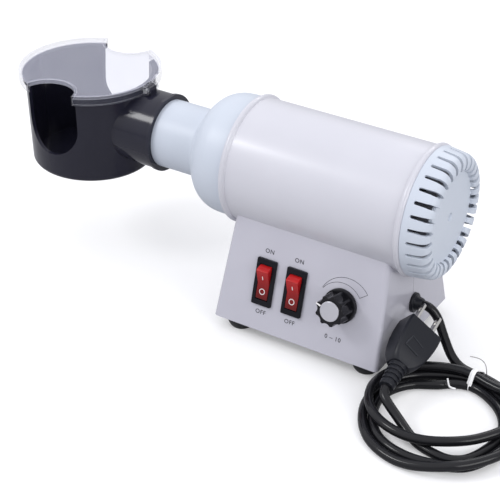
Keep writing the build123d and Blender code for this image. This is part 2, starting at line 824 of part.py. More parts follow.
wire_corner = card_reach + wire_radius + wire_bend * (math.sqrt(2) - 1) + seat_gap
wire_start = card_middle - wire_turns * wire_pitch / 2
wire_points = []
for quarter in range(4 * wire_turns + 1):
    turn = math.radians(90 * quarter)
    wire_points.append(
        (
            wire_start + wire_pitch * quarter / 4,
            centre_y + wire_corner * math.cos(turn),
            barrel_axis_height + wire_corner * math.sin(turn),
        )
    )
with BuildPart() as heating_coil:
    with BuildLine() as wire_path:
        FilletPolyline(*wire_points, radius=wire_bend)
    with BuildSketch(Plane(wire_points[0], z_dir=Vector(*wire_points[1]) - Vector(*wire_points[0]))):
        Circle(wire_radius)
    sweep(transition=Transition.ROUND)
finish(heating_coil.part, "heating_coil")

with BuildPart() as thermal_cutout:
    with BuildSketch(Plane((card_middle, centre_y + cutout_offset, barrel_axis_height + card_thickness / 2))):
        Circle(cutout_radius)
    extrude(amount=cutout_height)
finish(thermal_cutout.part, "thermal_cutout")

# ---- Control board ----

plate_top = base_bottom + plate_thickness
board_x = base_x + board_shift_x
board_y = centre_y + board_shift_y
board_bottom = plate_top + standoff_height
board_top = board_bottom + board_thickness
board_hole_x = board_length - 2 * board_hole_inset
board_hole_y = board_width - 2 * board_hole_inset
board_screw_hole = board_screw_radius + seat_gap
board_screw_depth = board_screw_length - board_thickness + 0.5

with BuildPart() as board_standoffs:
    with BuildSketch(Plane((board_x, board_y, plate_top))):
        with GridLocations(board_hole_x, board_hole_y, 2, 2):
            Circle(standoff_radius)
    extrude(amount=standoff_height)
    with BuildSketch(Plane((board_x, board_y, board_bottom))):
        with GridLocations(board_hole_x, board_hole_y, 2, 2):
            Circle(board_screw_hole)
    extrude(amount=-board_screw_depth, mode=Mode.SUBTRACT)
finish(board_standoffs.part, "board_standoffs")

with BuildPart() as control_board:
    with BuildSketch(Plane((board_x, board_y, board_bottom))):
        Rectangle(board_length, board_width)
        with GridLocations(board_hole_x, board_hole_y, 2, 2):
            Circle(board_screw_hole, mode=Mode.SUBTRACT)
    extrude(amount=board_thickness)
finish(control_board.part, "control_board")

with BuildPart() as board_screws:
    for radius, length in (
        (board_screw_head_radius, board_screw_head),
        (board_screw_radius, -board_screw_length),
    ):
        with BuildSketch(Plane((board_x, board_y, board_top))):
            with GridLocations(board_hole_x, board_hole_y, 2, 2):
                Circle(radius)
        extrude(amount=length)
finish(board_screws.part, "board_screws")

with BuildPart() as board_components:
    for place, size in ((capacitor_place, capacitor_size), (terminal_block_place, terminal_block_size)):
        with BuildSketch(Plane((board_x, board_y, board_top))):
            with Locations(place):
                Rectangle(size[0], size[1])
        extrude(amount=size[2])
    with BuildSketch(Plane((board_x, board_y, board_top))):
        with Locations(choke_place):
            Circle(choke_radius)
            Circle(choke_radius * 0.4, mode=Mode.SUBTRACT)
    extrude(amount=choke_height)
finish(board_components.part, "board_components")

with BuildPart() as heat_sink:
    with BuildSketch(Plane((board_x + heatsink_place[0], board_y + heatsink_place[1], board_top))):
        Rectangle(heatsink_length, heatsink_base)
        fin_pitch = (heatsink_length - heatsink_fin) / (heatsink_fin_count - 1)
        with GridLocations(fin_pitch, 1, heatsink_fin_count, 1):
            Rectangle(heatsink_fin, heatsink_width)
    extrude(amount=heatsink_height)
finish(heat_sink.part, "heat_sink")

# ---- Rocker switches, off: the lower end pressed in ----

rocker_tilt = rocker_throw / 2
pivot_out = bezel_proud + rocker_flush - rocker_valley * math.cos(math.radians(rocker_tilt))
rocker_tip = rocker_valley + rocker_half_length * math.tan(math.radians(rocker_tilt))
window_width = rocker_width + 2 * move_gap
flank_x = rocker_reach * math.cos(math.radians(rocker_flank_angle))
flank_y = -rocker_reach * math.sin(math.radians(rocker_flank_angle))
flank_middle = math.atan2(rocker_tip + flank_y, rocker_half_length + flank_x)
bulge_x = rocker_reach * math.cos(flank_middle)
bulge_y = rocker_reach * math.sin(flank_middle)


def switch_pivot(x, tilt=0.0):
    """The plane across a rocker's pivot; its local X runs up the panel, tilted outwards by tilt."""
    upward = panel_up * math.cos(math.radians(tilt)) + panel_normal * math.sin(math.radians(tilt))
    return Plane(on_panel(x, switch_up, pivot_out).origin, x_dir=upward, z_dir=(1, 0, 0))


for name, switch_x in (("power", power_switch_x), ("heat", heat_switch_x)):
    with BuildPart() as switch_body:
        with BuildSketch(on_panel(switch_x, switch_up)):
            RectangleRounded(bezel_width, bezel_height, bezel_round)
        extrude(amount=bezel_proud)
        fillet(switch_body.faces().sort_by(SortBy.AREA)[-1].edges(), bezel_round / 2)
        with BuildSketch(on_panel(switch_x, switch_up)):
            Rectangle(opening_width, opening_height)
        extrude(amount=-switch_depth)
        with BuildSketch(on_panel(switch_x, switch_up, -rocker_cavity)):
            Rectangle(window_width, window_height)
        extrude(amount=rocker_cavity + bezel_proud, mode=Mode.SUBTRACT)
        with BuildSketch(switch_pivot(switch_x)):
            Circle(trunnion_radius + run_gap)
        extrude(amount=opening_width / 2, both=True, mode=Mode.SUBTRACT)
    finish(switch_body.part, f"{name}_switch_body")

    with BuildPart() as rocker:
        with BuildSketch(switch_pivot(switch_x, rocker_tilt)):
            with BuildLine():
                Line((-rocker_half_length, rocker_tip), (0, rocker_valley))
                Line((0, rocker_valley), (rocker_half_length, rocker_tip))
                ThreePointArc((rocker_half_length, rocker_tip), (bulge_x, bulge_y), (flank_x, flank_y))
                Line((flank_x, flank_y), (0, -rocker_keel))
                Line((0, -rocker_keel), (-flank_x, flank_y))
                ThreePointArc((-flank_x, flank_y), (-bulge_x, bulge_y), (-rocker_half_length, rocker_tip))
            make_face()
        extrude(amount=rocker_width / 2, both=True)
        with BuildSketch(switch_pivot(switch_x)):
            Circle(trunnion_radius)
        extrude(amount=rocker_width / 2 + move_gap + trunnion_length, both=True)
    finish(rocker.part, f"{name}_rocker")

with BuildPart() as switch_terminals:
    for switch_x in (power_switch_x, heat_switch_x):
        with BuildSketch(on_panel(switch_x, switch_up, -switch_depth)):
            with GridLocations(1, terminal_pitch, 1, 3):
                Rectangle(terminal_width, terminal_thickness)
        extrude(amount=-terminal_length)
finish(switch_terminals.part, "switch_terminals")

# ---- Speed control and knob ----

panel_thickness = base_wall * math.cos(lean)
control_face = -panel_thickness - seat_gap
shaft_bottom = control_face - control_shaft_depth
shaft_top = shaft_bottom + control_shaft_length
knob_base = move_gap
recess_top = knob_base + knob_recess_depth

with BuildPart() as speed_control:
    with BuildSketch(on_panel(knob_x, knob_up, control_face)):
        Circle(control_radius)
    extrude(amount=-control_depth)
    with BuildSketch(on_panel(knob_x, knob_up, control_face)):
        Circle(bush_radius)
    extrude(amount=bush_length)
    with BuildSketch(on_panel(knob_x, knob_up, shaft_bottom - seat_gap)):
        Circle(control_shaft_radius + run_gap)
    extrude(amount=control_shaft_depth + seat_gap + bush_length, mode=Mode.SUBTRACT)
finish(speed_control.part, "speed_control")

with BuildPart() as control_washer:
    with BuildSketch(on_panel(knob_x, knob_up)):
        Circle(washer_radius)
        Circle(control_hole_radius, mode=Mode.SUBTRACT)
    extrude(amount=washer_thickness)
finish(control_washer.part, "control_washer")

with BuildPart() as control_nut:
    with BuildSketch(on_panel(knob_x, knob_up, washer_thickness)):
        RegularPolygon(nut_across_flats / 2, 6, major_radius=False)
        Circle(bush_radius, mode=Mode.SUBTRACT)
    extrude(amount=nut_thickness)
finish(control_nut.part, "control_nut")

with BuildPart() as control_shaft:
    with BuildSketch(on_panel(knob_x, knob_up, shaft_bottom)):
        Circle(control_shaft_radius)
    extrude(amount=control_shaft_length)
finish(control_shaft.part, "control_shaft")

flute_centre = knob_face_radius + knob_flute_radius - knob_flute_depth
flute_turn = knob_pointer_angle + 180 / knob_flute_count
with BuildPart() as adjust_knob:
    with BuildSketch(on_panel(knob_x, knob_up, knob_base)):
        Circle(knob_face_radius)
        with PolarLocations(flute_centre, knob_flute_count, start_angle=flute_turn):
            Circle(knob_flute_radius, mode=Mode.SUBTRACT)
    extrude(amount=knob_height - knob_base)
    with BuildSketch(on_panel(knob_x, knob_up, knob_base)):
        Circle(knob_base_radius)
    extrude(amount=knob_skirt)
    with BuildSketch(on_panel(knob_x, knob_up, knob_base)):
        Circle(knob_recess_radius)
    extrude(amount=knob_recess_depth, mode=Mode.SUBTRACT)
    with BuildSketch(on_panel(knob_x, knob_up, recess_top)):
        Circle(control_shaft_radius)
    extrude(amount=shaft_top - recess_top + seat_gap, mode=Mode.SUBTRACT)
    with BuildSketch(on_panel(knob_x, knob_up, knob_height - cap_thickness + cap_proud)):
        Circle(cap_radius)
    extrude(amount=cap_thickness, mode=Mode.SUBTRACT)
    with BuildSketch(on_panel(knob_x, knob_up, knob_height - knob_pointer_depth)):
        with PolarLocations(knob_face_radius - knob_pointer_length / 2, 1, start_angle=knob_pointer_angle):
            Rectangle(knob_pointer_length, knob_pointer_width)
    extrude(amount=knob_pointer_depth, mode=Mode.SUBTRACT)
finish(adjust_knob.part, "adjust_knob")

with BuildPart() as knob_cap:
    with BuildSketch(on_panel(knob_x, knob_up, knob_height - cap_thickness + cap_proud)):
        Circle(cap_radius)
    extrude(amount=cap_thickness)
finish(knob_cap.part, "knob_cap")

# ---- Strain relief and supply cord ----

gland_wall = base_wall * math.cos(end_lean)
gland_tip = gland_flange + gland_nose
with BuildPart() as strain_relief:
    with BuildSketch(gland_plane):
        Circle(gland_flange_radius)
    extrude(amount=gland_flange)
    fillet(strain_relief.edges().filter_by(GeomType.CIRCLE).sort_by(Axis.X)[-1], gland_flange / 3)
    for out, radius in ((gland_flange, gland_nose_radius), (gland_tip, gland_tip_radius)):
        with BuildSketch(gland_plane.offset(out)):
            Circle(radius)
    loft()
    with BuildSketch(gland_plane):
        Circle(gland_neck_radius - seat_gap)
    extrude(amount=-gland_wall - gland_inside)
finish(strain_relief.part, "strain_relief")


def cord_tube(start, heading, exit_run, route, name):
    """A straight-run tube with tangent arcs from start along heading, then along route."""
    points = [start, start + heading * exit_run] + [Vector(*point) for point in route]
    radii = []
    length = 0.0
    for before, corner, after in zip(points, points[1:], points[2:]):
        turn = math.radians((corner - before).get_angle(after - corner))
        run = min((corner - before).length, (after - corner).length)
        radii.append(0.45 * run / math.tan(turn / 2))
        length -= 2 * radii[-1] * math.tan(turn / 2) - radii[-1] * turn
    length += sum((after - before).length for before, after in zip(points, points[1:]))
    with BuildPart() as tube:
        with BuildLine():
            FilletPolyline(*points, radius=radii)
        with BuildSketch(Plane(start, z_dir=heading)):
            Circle(cord_radius)
        sweep()
    finish(tube.part, name)
    print(name, "radii", [round(radius, 1) for radius in radii], "length", round(length, 1))
    print(name, "volume", round(tube.part.volume), "by length", round(math.pi * cord_radius**2 * length))


cord_tube(gland_origin + gland_normal * gland_tip, gland_normal, lead_exit_run, lead_route, "cord_lead")

tie_turn = math.radians(tie_angle)
tie_outward = Vector(math.cos(tie_turn), math.sin(tie_turn), 0)
coil_hole_shift = Vector(coil_hole_centre[0] - coil_centre[0], coil_hole_centre[1] - coil_centre[1], 0)
tie_inner = coil_hole_radius + coil_hole_shift.dot(tie_outward)
tie_height = (coil_height + tie_thickness) / 2
tie_middle = Vector(*coil_centre, tie_height) + tie_outward * (coil_radius + tie_inner) / 2
tie_plane = Plane(tie_middle, x_dir=tie_outward, z_dir=(math.sin(tie_turn), -math.cos(tie_turn), 0))

with BuildPart() as cord_tie:
    with BuildSketch(tie_plane):
        RectangleRounded(
            coil_radius - tie_inner + 2 * tie_thickness,
            coil_height + tie_thickness,
            coil_round + tie_thickness,
        )
        RectangleRounded(
            coil_radius - tie_inner, coil_height - tie_thickness, coil_round, mode=Mode.SUBTRACT
        )
    extrude(amount=tie_width / 2, both=True)
finish(cord_tie.part, "cord_tie")

with BuildPart() as cord_coil:
    with BuildSketch(Plane((*coil_centre, 0))):
        Circle(coil_radius)
    extrude(amount=coil_height)
    with BuildSketch(Plane((*coil_hole_centre, 0))):
        Circle(coil_hole_radius)
    extrude(amount=coil_height, mode=Mode.SUBTRACT)
    fillet(cord_coil.edges().filter_by(GeomType.CIRCLE), coil_round)
    with BuildSketch(tie_plane):
        Rectangle(2 * coil_radius - 2 * tie_inner, 2 * coil_height)
        RectangleRounded(
            coil_radius - tie_inner, coil_height - tie_thickness, coil_round, mode=Mode.SUBTRACT
        )
    extrude(amount=tie_width / 2, both=True, mode=Mode.SUBTRACT)
finish(cord_coil.part, "cord_coil")

# ---- Plug ----

plug_forward = Vector(*plug_axis).normalized()
plug_back = plug_forward * -1
plug_across = Vector(*plug_side)
plug_across = (plug_across - plug_forward * plug_across.dot(plug_forward)).normalized()
plug_face = Vector(*plug_face_point)
boot_start = plug_sections[-1][0]
boot_end = boot_start + boot_length


def behind_face(distance):
    """The plane across the plug, distance behind the face that carries the blades."""
    return Plane(plug_face + plug_back * distance, x_dir=plug_across, z_dir=plug_forward)


with BuildPart() as plug_body:
    for distance, width, depth, corner in plug_sections:
        with BuildSketch(behind_face(distance)):
            RectangleRounded(width, depth, corner)
    loft()
    boot_plane = Plane(plug_face, x_dir=plug_back, z_dir=plug_across)
    with BuildSketch(boot_plane):
        with BuildLine():
            Polyline(
                (boot_start - 1, 0),
                (boot_start - 1, boot_radius),
                (boot_end, boot_tip_radius),
                (boot_end, 0),
                close=True,
            )
        make_face()
        boot_taper = (boot_radius - boot_tip_radius) / (boot_length + 1)
        for groove in range(boot_groove_count):
            groove_at = boot_start + boot_groove_pitch * (groove + 1)
            groove_radius = boot_radius - boot_taper * (groove_at - boot_start + 1)
            with Locations((groove_at, groove_radius)):
                Rectangle(boot_groove_width, 2 * boot_groove, mode=Mode.SUBTRACT)
    revolve(axis=Axis(plug_face, plug_back))
    with BuildSketch(behind_face(0)):
        with GridLocations(blade_spacing, 1, 2, 1):
            Rectangle(blade_thickness, blade_width)
    extrude(amount=-blade_socket, mode=Mode.SUBTRACT)
finish(plug_body.part, "plug_body")

with BuildPart() as plug_blades:
    with BuildSketch(behind_face(blade_socket)):
        with GridLocations(blade_spacing, 1, 2, 1):
            Rectangle(blade_thickness, blade_width)
    extrude(amount=blade_socket + blade_length)
    blade_tips = plug_blades.faces().sort_by(Axis(plug_face, plug_forward))[-2:]
    chamfer(blade_tips.edges().filter_by(Axis(plug_face, plug_across)), blade_thickness)
    hole_middle = plug_face + plug_forward * (blade_length - blade_hole_inset)
    with BuildSketch(Plane(hole_middle, x_dir=plug_forward, z_dir=plug_across)):
        Circle(blade_hole_radius)
    extrude(amount=blade_spacing, both=True, mode=Mode.SUBTRACT)
finish(plug_blades.part, "plug_blades")

cord_tube(plug_face + plug_back * boot_end, plug_back, tail_exit_run, tail_route, "cord_tail")
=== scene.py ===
import math
import bmesh
import bpy
from mathutils import Matrix, Vector


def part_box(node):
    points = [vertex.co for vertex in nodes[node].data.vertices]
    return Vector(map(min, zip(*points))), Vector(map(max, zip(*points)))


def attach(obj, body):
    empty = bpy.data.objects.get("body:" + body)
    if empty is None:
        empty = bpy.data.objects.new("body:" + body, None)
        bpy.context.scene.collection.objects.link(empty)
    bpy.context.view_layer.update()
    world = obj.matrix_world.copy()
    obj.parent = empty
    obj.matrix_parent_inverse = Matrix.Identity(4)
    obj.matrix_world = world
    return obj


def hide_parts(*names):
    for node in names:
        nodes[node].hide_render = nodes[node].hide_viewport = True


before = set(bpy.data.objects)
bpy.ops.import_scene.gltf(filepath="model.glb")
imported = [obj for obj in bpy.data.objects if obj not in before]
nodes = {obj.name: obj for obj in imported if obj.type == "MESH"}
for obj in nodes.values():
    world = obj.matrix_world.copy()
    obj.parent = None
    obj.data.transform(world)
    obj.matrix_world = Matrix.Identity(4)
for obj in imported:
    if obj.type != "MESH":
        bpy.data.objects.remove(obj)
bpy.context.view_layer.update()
mm = 0.001


def say(stage):
    print("frame warmer:", stage)


def newObject(name, data):
    made = bpy.data.objects.new(name, data)
    bpy.context.scene.collection.objects.link(made)
    return made


# places read from the model's parts
barrelLow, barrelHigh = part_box("barrel_tube")
middleY = (barrelLow.y + barrelHigh.y) / 2
axisZ = (barrelLow.z + barrelHigh.z) / 2
shellLow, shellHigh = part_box("base_front_shell")
baseX = (shellLow.x + shellHigh.x) / 2
lidLow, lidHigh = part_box("clear_lid")
barrelStart = barrelLow.x / mm
barrelEnd = barrelHigh.x / mm
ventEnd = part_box("vent_cap")[1].x / mm

# the control panel leans back: x runs along it, up runs up its slope, out stands off it
panelLean = math.radians(14.5)
panelUp = Vector((0, math.sin(panelLean), math.cos(panelLean)))
panelOut = Vector((0, -math.cos(panelLean), math.sin(panelLean)))
panelMiddle = Vector((baseX, shellLow.y, shellLow.z))


def panelPoint(x, up, out=0.0):
    return panelMiddle + Vector((x * mm, 0, 0)) + panelUp * (up * mm) + panelOut * (out * mm)


# camera, from the inlet end and above
cameraValues = {
    "position": (425.9, -675.7, 519.9),
    "turn": 31.111,
    "tilt": 31.666,
    "roll": 0.971,
    "lens": 103.84,
    "sensor": 36.0,
}


def makeCamera(values):
    turn, tilt, roll = (math.radians(values[key]) for key in ("turn", "tilt", "roll"))
    back = Vector((math.sin(turn) * math.cos(tilt), -math.cos(turn) * math.cos(tilt), math.sin(tilt)))
    right = Vector((math.cos(turn), math.sin(turn), 0))
    up = back.cross(right)
    rolledRight = right * math.cos(roll) + up * math.sin(roll)
    rolledUp = up * math.cos(roll) - right * math.sin(roll)
    data = bpy.data.cameras.new("viewCamera")
    data.lens = values["lens"]
    data.sensor_width = values["sensor"]
    data.clip_start, data.clip_end = 0.05, 20
    camera = newObject("viewCamera", data)
    matrix = Matrix((rolledRight, rolledUp, back)).transposed().to_4x4()
    matrix.translation = Vector(values["position"]) * mm
    camera.matrix_world = matrix
    bpy.context.scene.camera = camera


makeCamera(cameraValues)
bpy.context.scene.view_settings.view_transform = "Standard"
say("camera placed")


def addNode(tree, kind, inputs=None, **settings):
    made = tree.nodes.new(kind)
    for key, value in settings.items():
        setattr(made, key, value)
    for key, value in (inputs or {}).items():
        if isinstance(value, bpy.types.NodeSocket):
            tree.links.new(value, made.inputs[key])
        else:
            made.inputs[key].default_value = value
    return made


def mathNode(tree, operation, *values):
    return addNode(tree, "ShaderNodeMath", dict(enumerate(values)), operation=operation).outputs[0]


def noiseNode(tree, place, scale, detail, distortion=0.0):
    inputs = {"Vector": place, "Scale": scale, "Detail": detail, "Distortion": distortion}
    return addNode(tree, "ShaderNodeTexNoise", inputs).outputs["Fac"]


def newGroup(name, kind, inputs, outputs):
    group = bpy.data.node_groups.new(name, kind)
    for label, socketType, value in inputs:
        socket = group.interface.new_socket(label, in_out="INPUT", socket_type=socketType)
        if value is not None:
            socket.default_value = value
    for label, socketType in outputs:
        group.interface.new_socket(label, in_out="OUTPUT", socket_type=socketType)
    return group, group.nodes.new("NodeGroupInput"), group.nodes.new("NodeGroupOutput")


def mixColours(tree, factor, first, second, blend="MIX"):
    made = tree.nodes.new("ShaderNodeMix")
    made.data_type = "RGBA"
    made.blend_type = blend
    for place, value in ((0, factor), (6, first), (7, second)):
        if isinstance(value, bpy.types.NodeSocket):
            tree.links.new(value, made.inputs[place])
        else:
            made.inputs[place].default_value = value
    return made.outputs[2]


groupValues = {
    "toneSpread": (0.3, 0.75), "hairlineStretch": (1.0, 12.0, 5.0), "hairlineTurn": (0.3, 0.5, 0.8),
    "hairlineWidth": 0.012, "edgePointed": (0.53, 0.62), "edgeBreaks": 400.0,
}


# tone: a slow change of colour over the piece, with a fine speckle on it
def buildToneGroup(values):
    group, start, end = newGroup(
        "surfaceTone",
        "ShaderNodeTree",
        [
            ("Place", "NodeSocketVector", None),
            ("Main", "NodeSocketColor", (0.8, 0.8, 0.8, 1)),
            ("Second", "NodeSocketColor", (0.7, 0.7, 0.7, 1)),
            ("Patch Scale", "NodeSocketFloat", 30.0),
            ("Speck Scale", "NodeSocketFloat", 900.0),
            ("Speck", "NodeSocketFloat", 0.1),
        ],
        [("Color", "NodeSocketColor")],
    )
    given = start.outputs
    patch = noiseNode(group, given["Place"], given["Patch Scale"], detail=3.0)
    speck = noiseNode(group, given["Place"], given["Speck Scale"], detail=2.0)
    specked = mathNode(group, "MULTIPLY_ADD", speck, given["Speck"], patch)
    low, high = values["toneSpread"]
    spread = addNode(group, "ShaderNodeMapRange", {"Value": specked, "From Min": low, "From Max": high})
    group.links.new(mixColours(group, spread.outputs[0], given["Main"], given["Second"]), end.inputs["Color"])
    return group


# wear: roughness with smudges and faint hairline scratches
def buildWearGroup(values):
    group, start, end = newGroup(
        "handledWear",
        "ShaderNodeTree",
        [
            ("Place", "NodeSocketVector", None),
            ("Roughness", "NodeSocketFloat", 0.3),
            ("Smudge", "NodeSocketFloat", 0.1),
            ("Smudge Scale", "NodeSocketFloat", 25.0),
            ("Scratch", "NodeSocketFloat", 0.05),
            ("Scratch Scale", "NodeSocketFloat", 60.0),
        ],
        [("Roughness", "NodeSocketFloat")],
    )
    given = start.outputs
    smudge = noiseNode(group, given["Place"], given["Smudge Scale"], detail=4.0, distortion=0.6)
    centred = mathNode(group, "SUBTRACT", smudge, 0.5)
    smudged = mathNode(group, "MULTIPLY_ADD", centred, given["Smudge"], given["Roughness"])
    stretched = addNode(
        group, "ShaderNodeMapping",
        {"Vector": given["Place"], "Scale": values["hairlineStretch"], "Rotation": values["hairlineTurn"]},
    )
    lines = addNode(
        group, "ShaderNodeTexVoronoi",
        {"Vector": stretched.outputs[0], "Scale": given["Scratch Scale"]}, feature="DISTANCE_TO_EDGE",
    )
    away, width = lines.outputs["Distance"], values["hairlineWidth"]
    thin = addNode(
        group, "ShaderNodeMapRange",
        {"Value": away, "From Min": 0.0, "From Max": width, "To Min": 1.0, "To Max": 0.0},
    )
    scratched = mathNode(group, "MULTIPLY_ADD", thin.outputs[0], given["Scratch"], smudged)
    group.links.new(scratched, end.inputs["Roughness"])
    return group


# skin: the fine relief of paint or moulding, as a height
def buildSkinGroup():
    group, start, end = newGroup(
        "mouldSkin",
        "ShaderNodeTree",
        [
            ("Place", "NodeSocketVector", None),
            ("Ripple Scale", "NodeSocketFloat", 300.0),
            ("Grain Scale", "NodeSocketFloat", 2500.0),
            ("Grain", "NodeSocketFloat", 0.3),
        ],
        [("Height", "NodeSocketFloat")],
    )
    given = start.outputs
    ripple = noiseNode(group, given["Place"], given["Ripple Scale"], detail=1.0)
    grain = noiseNode(group, given["Place"], given["Grain Scale"], detail=2.0)
    group.links.new(mathNode(group, "MULTIPLY_ADD", grain, given["Grain"], ripple), end.inputs["Height"])
    return group


# painted highlight: a lighter or darker film on the edges, from how pointed the surface is, standing in for light
# caught along edges
def buildEdgeHighlightGroup(values):
    group, start, end = newGroup(
        "paintedEdgeHighlight",
        "ShaderNodeTree",
        [
            ("Place", "NodeSocketVector", None),
            ("Color", "NodeSocketColor", (0.5, 0.5, 0.5, 1)),
            ("Edge Color", "NodeSocketColor", (0.8, 0.8, 0.8, 1)),
            ("Amount", "NodeSocketFloat", 0.3),
        ],
        [("Color", "NodeSocketColor")],
    )
    given = start.outputs
    geometry = addNode(group, "ShaderNodeNewGeometry")
    low, high = values["edgePointed"]
    pointed = addNode(
        group, "ShaderNodeMapRange", {"Value": geometry.outputs["Pointiness"], "From Min": low, "From Max": high}
    )
    broken = noiseNode(group, given["Place"], values["edgeBreaks"], detail=3.0)
    patchy = mathNode(group, "MULTIPLY", pointed.outputs[0], broken)
    amount = mathNode(group, "MULTIPLY", patchy, given["Amount"])
    group.links.new(mixColours(group, amount, given["Color"], given["Edge Color"]), end.inputs["Color"])
    return group


toneGroup, wearGroup = buildToneGroup(groupValues), buildWearGroup(groupValues)
skinGroup, edgeHighlightGroup = buildSkinGroup(), buildEdgeHighlightGroup(groupValues)

finishDefaults = {
    "patchScale": 30.0, "speckScale": 900.0, "speck": 0.1,
    "roughness": 0.35, "smudge": 0.1, "smudgeScale": 25.0, "scratch": 0.03, "scratchScale": 50.0,
    "rippleScale": 300.0, "grainScale": 2500.0, "grain": 0.3, "relief": 0.02,
    "edge": None, "edgeAmount": 0.0, "fade": None,
    "metallic": 0.0, "coat": 0.0, "coatRoughness": 0.05, "ior": 1.5, "specular": 0.5, "alpha": 1.0, "sheen": 0.0,
}


def makeFinish(name, main, second, **changes):
    values = {**finishDefaults, **changes}
    material = bpy.data.materials.new(name)
    material.use_nodes = True
    tree = material.node_tree
    shader = tree.nodes["Principled BSDF"]
    place = addNode(tree, "ShaderNodeTexCoord").outputs["Object"]
    tone = addNode(tree, "ShaderNodeGroup", node_tree=toneGroup)
    for label, value in (
        ("Main", (*main, 1)), ("Second", (*second, 1)), ("Patch Scale", values["patchScale"]),
        ("Speck Scale", values["speckScale"]), ("Speck", values["speck"]),
    ):
        tone.inputs[label].default_value = value
    wear = addNode(tree, "ShaderNodeGroup", node_tree=wearGroup)
    for label, key in (
        ("Roughness", "roughness"), ("Smudge", "smudge"), ("Smudge Scale", "smudgeScale"),
        ("Scratch", "scratch"), ("Scratch Scale", "scratchScale"),
    ):
        wear.inputs[label].default_value = values[key]
    skin = addNode(tree, "ShaderNodeGroup", node_tree=skinGroup)
    for label, key in (("Ripple Scale", "rippleScale"), ("Grain Scale", "grainScale"), ("Grain", "grain")):
        skin.inputs[label].default_value = values[key]
    for group in (tone, wear, skin):
        tree.links.new(place, group.inputs["Place"])
    colour = tone.outputs["Color"]
    # painted highlight along the edges, where an edge colour is given
    if values["edge"]:
        edgeHighlight = addNode(tree, "ShaderNodeGroup", node_tree=edgeHighlightGroup)
        tree.links.new(place, edgeHighlight.inputs["Place"])
        tree.links.new(colour, edgeHighlight.inputs["Color"])
        edgeHighlight.inputs["Edge Color"].default_value = (*values["edge"], 1)
        edgeHighlight.inputs["Amount"].default_value = values["edgeAmount"]
        colour = edgeHighlight.outputs["Color"]
    # painted shade: the colour is darkened towards the bottom, between two heights, to stand in for shade
    if values["fade"]:
        low, high, darkest = values["fade"]
        height = addNode(tree, "ShaderNodeSeparateXYZ", {"Vector": place})
        deep = addNode(
            tree, "ShaderNodeMapRange",
            {"Value": height.outputs["Z"], "From Min": low * mm, "From Max": high * mm, "To Min": darkest},
        )
        colour = mixColours(tree, deep.outputs[0], (0, 0, 0, 1), colour)
    relief = {"Height": skin.outputs["Height"], "Strength": 1.0, "Distance": values["relief"] * mm}
    bump = addNode(tree, "ShaderNodeBump", relief)
    tree.links.new(colour, shader.inputs["Base Color"])
    tree.links.new(wear.outputs["Roughness"], shader.inputs["Roughness"])
    tree.links.new(bump.outputs["Normal"], shader.inputs["Normal"])
    for label, key in (
        ("Metallic", "metallic"), ("Coat Weight", "coat"), ("Coat Roughness", "coatRoughness"), ("IOR", "ior"),
        ("Specular IOR Level", "specular"), ("Alpha", "alpha"), ("Sheen Weight", "sheen"),
    ):
        shader.inputs[label].default_value = values[key]
    return material


barrelEnamel = makeFinish(
    "barrelEnamel", (0.61, 0.61, 0.665), (0.585, 0.585, 0.64),
    roughness=0.32, smudge=0.05, coat=0.3, coatRoughness=0.16, rippleScale=160, relief=0.01,
)
# the edge colours given below paint a highlight along each finish's edges
shellEnamel = makeFinish(
    "shellEnamel", (0.52, 0.515, 0.58), (0.495, 0.49, 0.555),
    roughness=0.2, smudge=0.05, coat=0.5, coatRoughness=0.05, rippleScale=160, relief=0.01,
    edge=(0.72, 0.71, 0.78), edgeAmount=0.5,
)
palePlastic = makeFinish(
    "palePlastic", (0.585, 0.63, 0.705), (0.56, 0.605, 0.685),
    roughness=0.4, smudge=0.08, relief=0.012, grain=0.6, specular=0.4,
)
bowlPlastic = makeFinish(
    "bowlPlastic", (0.012, 0.012, 0.022), (0.016, 0.016, 0.028),
    roughness=0.13, smudge=0.08, scratch=0.05, scratchScale=30, relief=0.006, specular=0.34,
    edge=(0.05, 0.05, 0.065), edgeAmount=0.6,
)
lidPlastic = makeFinish(
    "lidPlastic", (0.55, 0.56, 0.66), (0.5, 0.51, 0.62),
    roughness=0.08, smudge=0.06, scratch=0.12, alpha=0.3, relief=0.003, specular=0.3,
)
# painted shade: a darker copy of the lid's clear plastic, for its skirt
lidSkirtShade = makeFinish(
    "lidSkirtShade", (0.13, 0.135, 0.17), (0.10, 0.105, 0.14),
    roughness=0.08, smudge=0.05, alpha=0.18, relief=0.003, specular=0.25,
)
# painted highlight: near-white finish for the lid's bevelled edges
lidEdgeHighlight = makeFinish(
    "lidEdgeHighlight", (0.93, 0.93, 0.97), (0.88, 0.88, 0.94),
    roughness=0.14, alpha=0.9, relief=0.003, specular=0.4,
)
switchPlastic = makeFinish(
    "switchPlastic", (0.006, 0.006, 0.009), (0.009, 0.009, 0.013),
    roughness=0.2, relief=0.01, grain=0.8, specular=0.16, edge=(0.05, 0.05, 0.06), edgeAmount=0.4,
)
# the red rocker carries painted shade, darker towards the bottom
rockerPlastic = makeFinish(
    "rockerPlastic", (0.56, 0.016, 0.018), (0.46, 0.012, 0.014),
    roughness=0.2, coat=0.1, relief=0.005, specular=0.3, edge=(0.8, 0.06, 0.05), edgeAmount=0.5,
    fade=(27.0, 53.0, 0.1),  # heights between which it darkens downwards, and how dark
)
knobPlastic = makeFinish(
    "knobPlastic", (0.006, 0.006, 0.008), (0.009, 0.009, 0.012),
    roughness=0.14, relief=0.006, specular=0.24, edge=(0.04, 0.04, 0.045), edgeAmount=0.4,
)
cordRubber = makeFinish(
    "cordRubber", (0.007, 0.007, 0.009), (0.011, 0.011, 0.013),
    roughness=0.17, smudge=0.12, relief=0.012, grain=0.5, specular=0.29,
)
plugRubber = makeFinish(
    "plugRubber", (0.008, 0.009, 0.014), (0.012, 0.013, 0.018),
    roughness=0.36, smudge=0.12, relief=0.015, grain=0.8, specular=0.3, edge=(0.06, 0.065, 0.075), edgeAmount=0.8,
)
